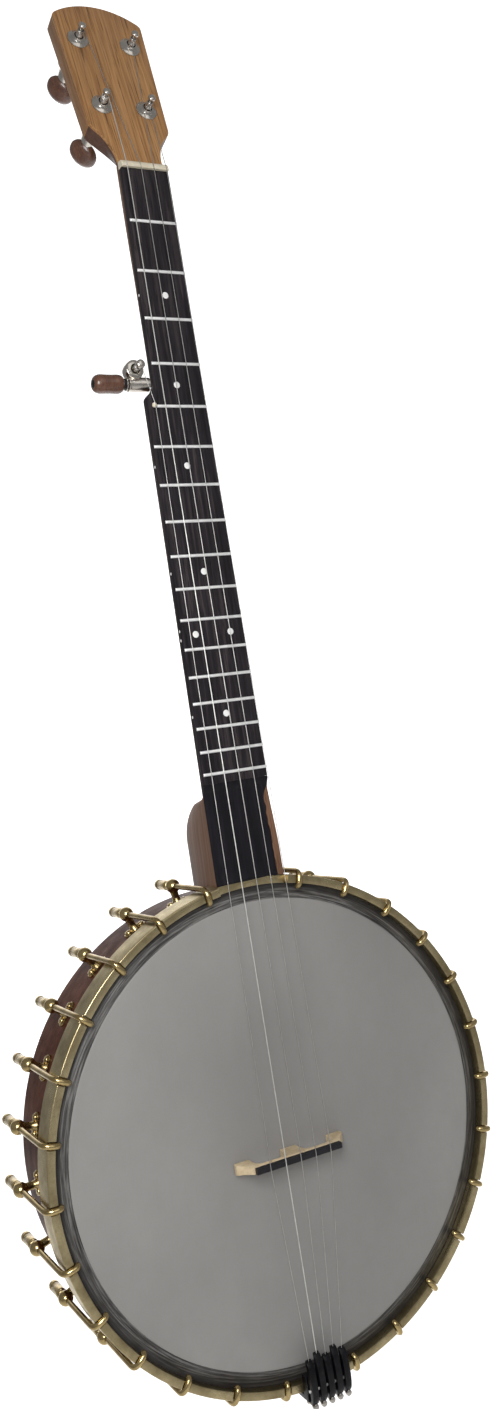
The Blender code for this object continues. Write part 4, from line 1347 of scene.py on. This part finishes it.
def stage():
    """A pale floor that curves up into a pale wall, well behind the banjo."""
    floor_z = CAD_BOX[0].z - FLOOR_DROP
    wall_y = CAD_BOX[1].y + WALL_GAP
    profile = [(wall_y - FLOOR_REACH, floor_z), (wall_y - STAGE_BEND, floor_z)]
    for i in range(1, 13):
        turn = math.pi / 2 * i / 12
        profile.append((wall_y - STAGE_BEND + STAGE_BEND * math.sin(turn),
                        floor_z + STAGE_BEND * (1 - math.cos(turn))))
    profile.append((wall_y, floor_z + WALL_HEIGHT))
    points = [(x, y, z) for y, z in profile for x in STAGE_SIDES]
    faces = [(2 * i, 2 * i + 1, 2 * i + 3, 2 * i + 2) for i in range(len(profile) - 1)]
    mesh = bpy.data.meshes.new("studio_floor")
    mesh.from_pydata(points, [], faces)
    mesh.materials.append(stage_material())
    mesh.shade_smooth()
    placed("studio_floor", mesh)


def area_light(name, position, target, size, power):
    data = bpy.data.lights.new(name, "AREA")
    data.shape = "RECTANGLE"
    data.size = size[0]
    data.size_y = size[1]
    data.energy = power
    obj = placed(name, data)
    obj.location = position
    obj.rotation_euler = (target - position).to_track_quat("-Z", "Y").to_euler()


def lights():
    world = bpy.data.worlds.new("studio")
    bpy.context.scene.world = world
    world.use_nodes = True
    background = world.node_tree.nodes["Background"]
    background.inputs["Color"].default_value = (1, 1, 1, 1)
    background.inputs["Strength"].default_value = WORLD_STRENGTH
    middle = (CAD_BOX[0] + CAD_BOX[1]) / 2
    area_light("key", CENTRE + KEY_OFFSET, CENTRE + Vector((-0.05, 0, 0.1)), KEY_SIZE, KEY_POWER)
    area_light("fill", middle + FILL_OFFSET, middle, FILL_SIZE, FILL_POWER)
    bpy.context.scene.view_settings.view_transform = "Standard"


def camera():
    """The viewpoint is given from the middle of the drum head, like the shapes."""
    forward = CAMERA_FORWARD.normalized()
    right = forward.cross(CAMERA_UP).normalized()
    up = right.cross(forward).normalized()
    data = bpy.data.cameras.new("camera")
    data.sensor_width = 36
    data.lens = CAMERA_LENS
    data.shift_x, data.shift_y = CAMERA_SHIFT
    data.clip_start = 0.02
    turn = Matrix((right, up, -forward)).transposed().to_4x4()
    place = Matrix.Translation(put(CAMERA_PLACE)) @ turn
    bpy.context.scene.camera = placed("camera", data, place)


def main():
    camera()
    lights()
    stage()
    neck()
    peghead()
    fingerboard()
    nut()
    rim()
    head()
    tension_hoop()
    brackets()
    rod()
    pegs()
    fifth_peg()
    tailpiece()
    bridge()
    for number in range(1, 6):
        string_wire(number)
        string_tail(number)


main()
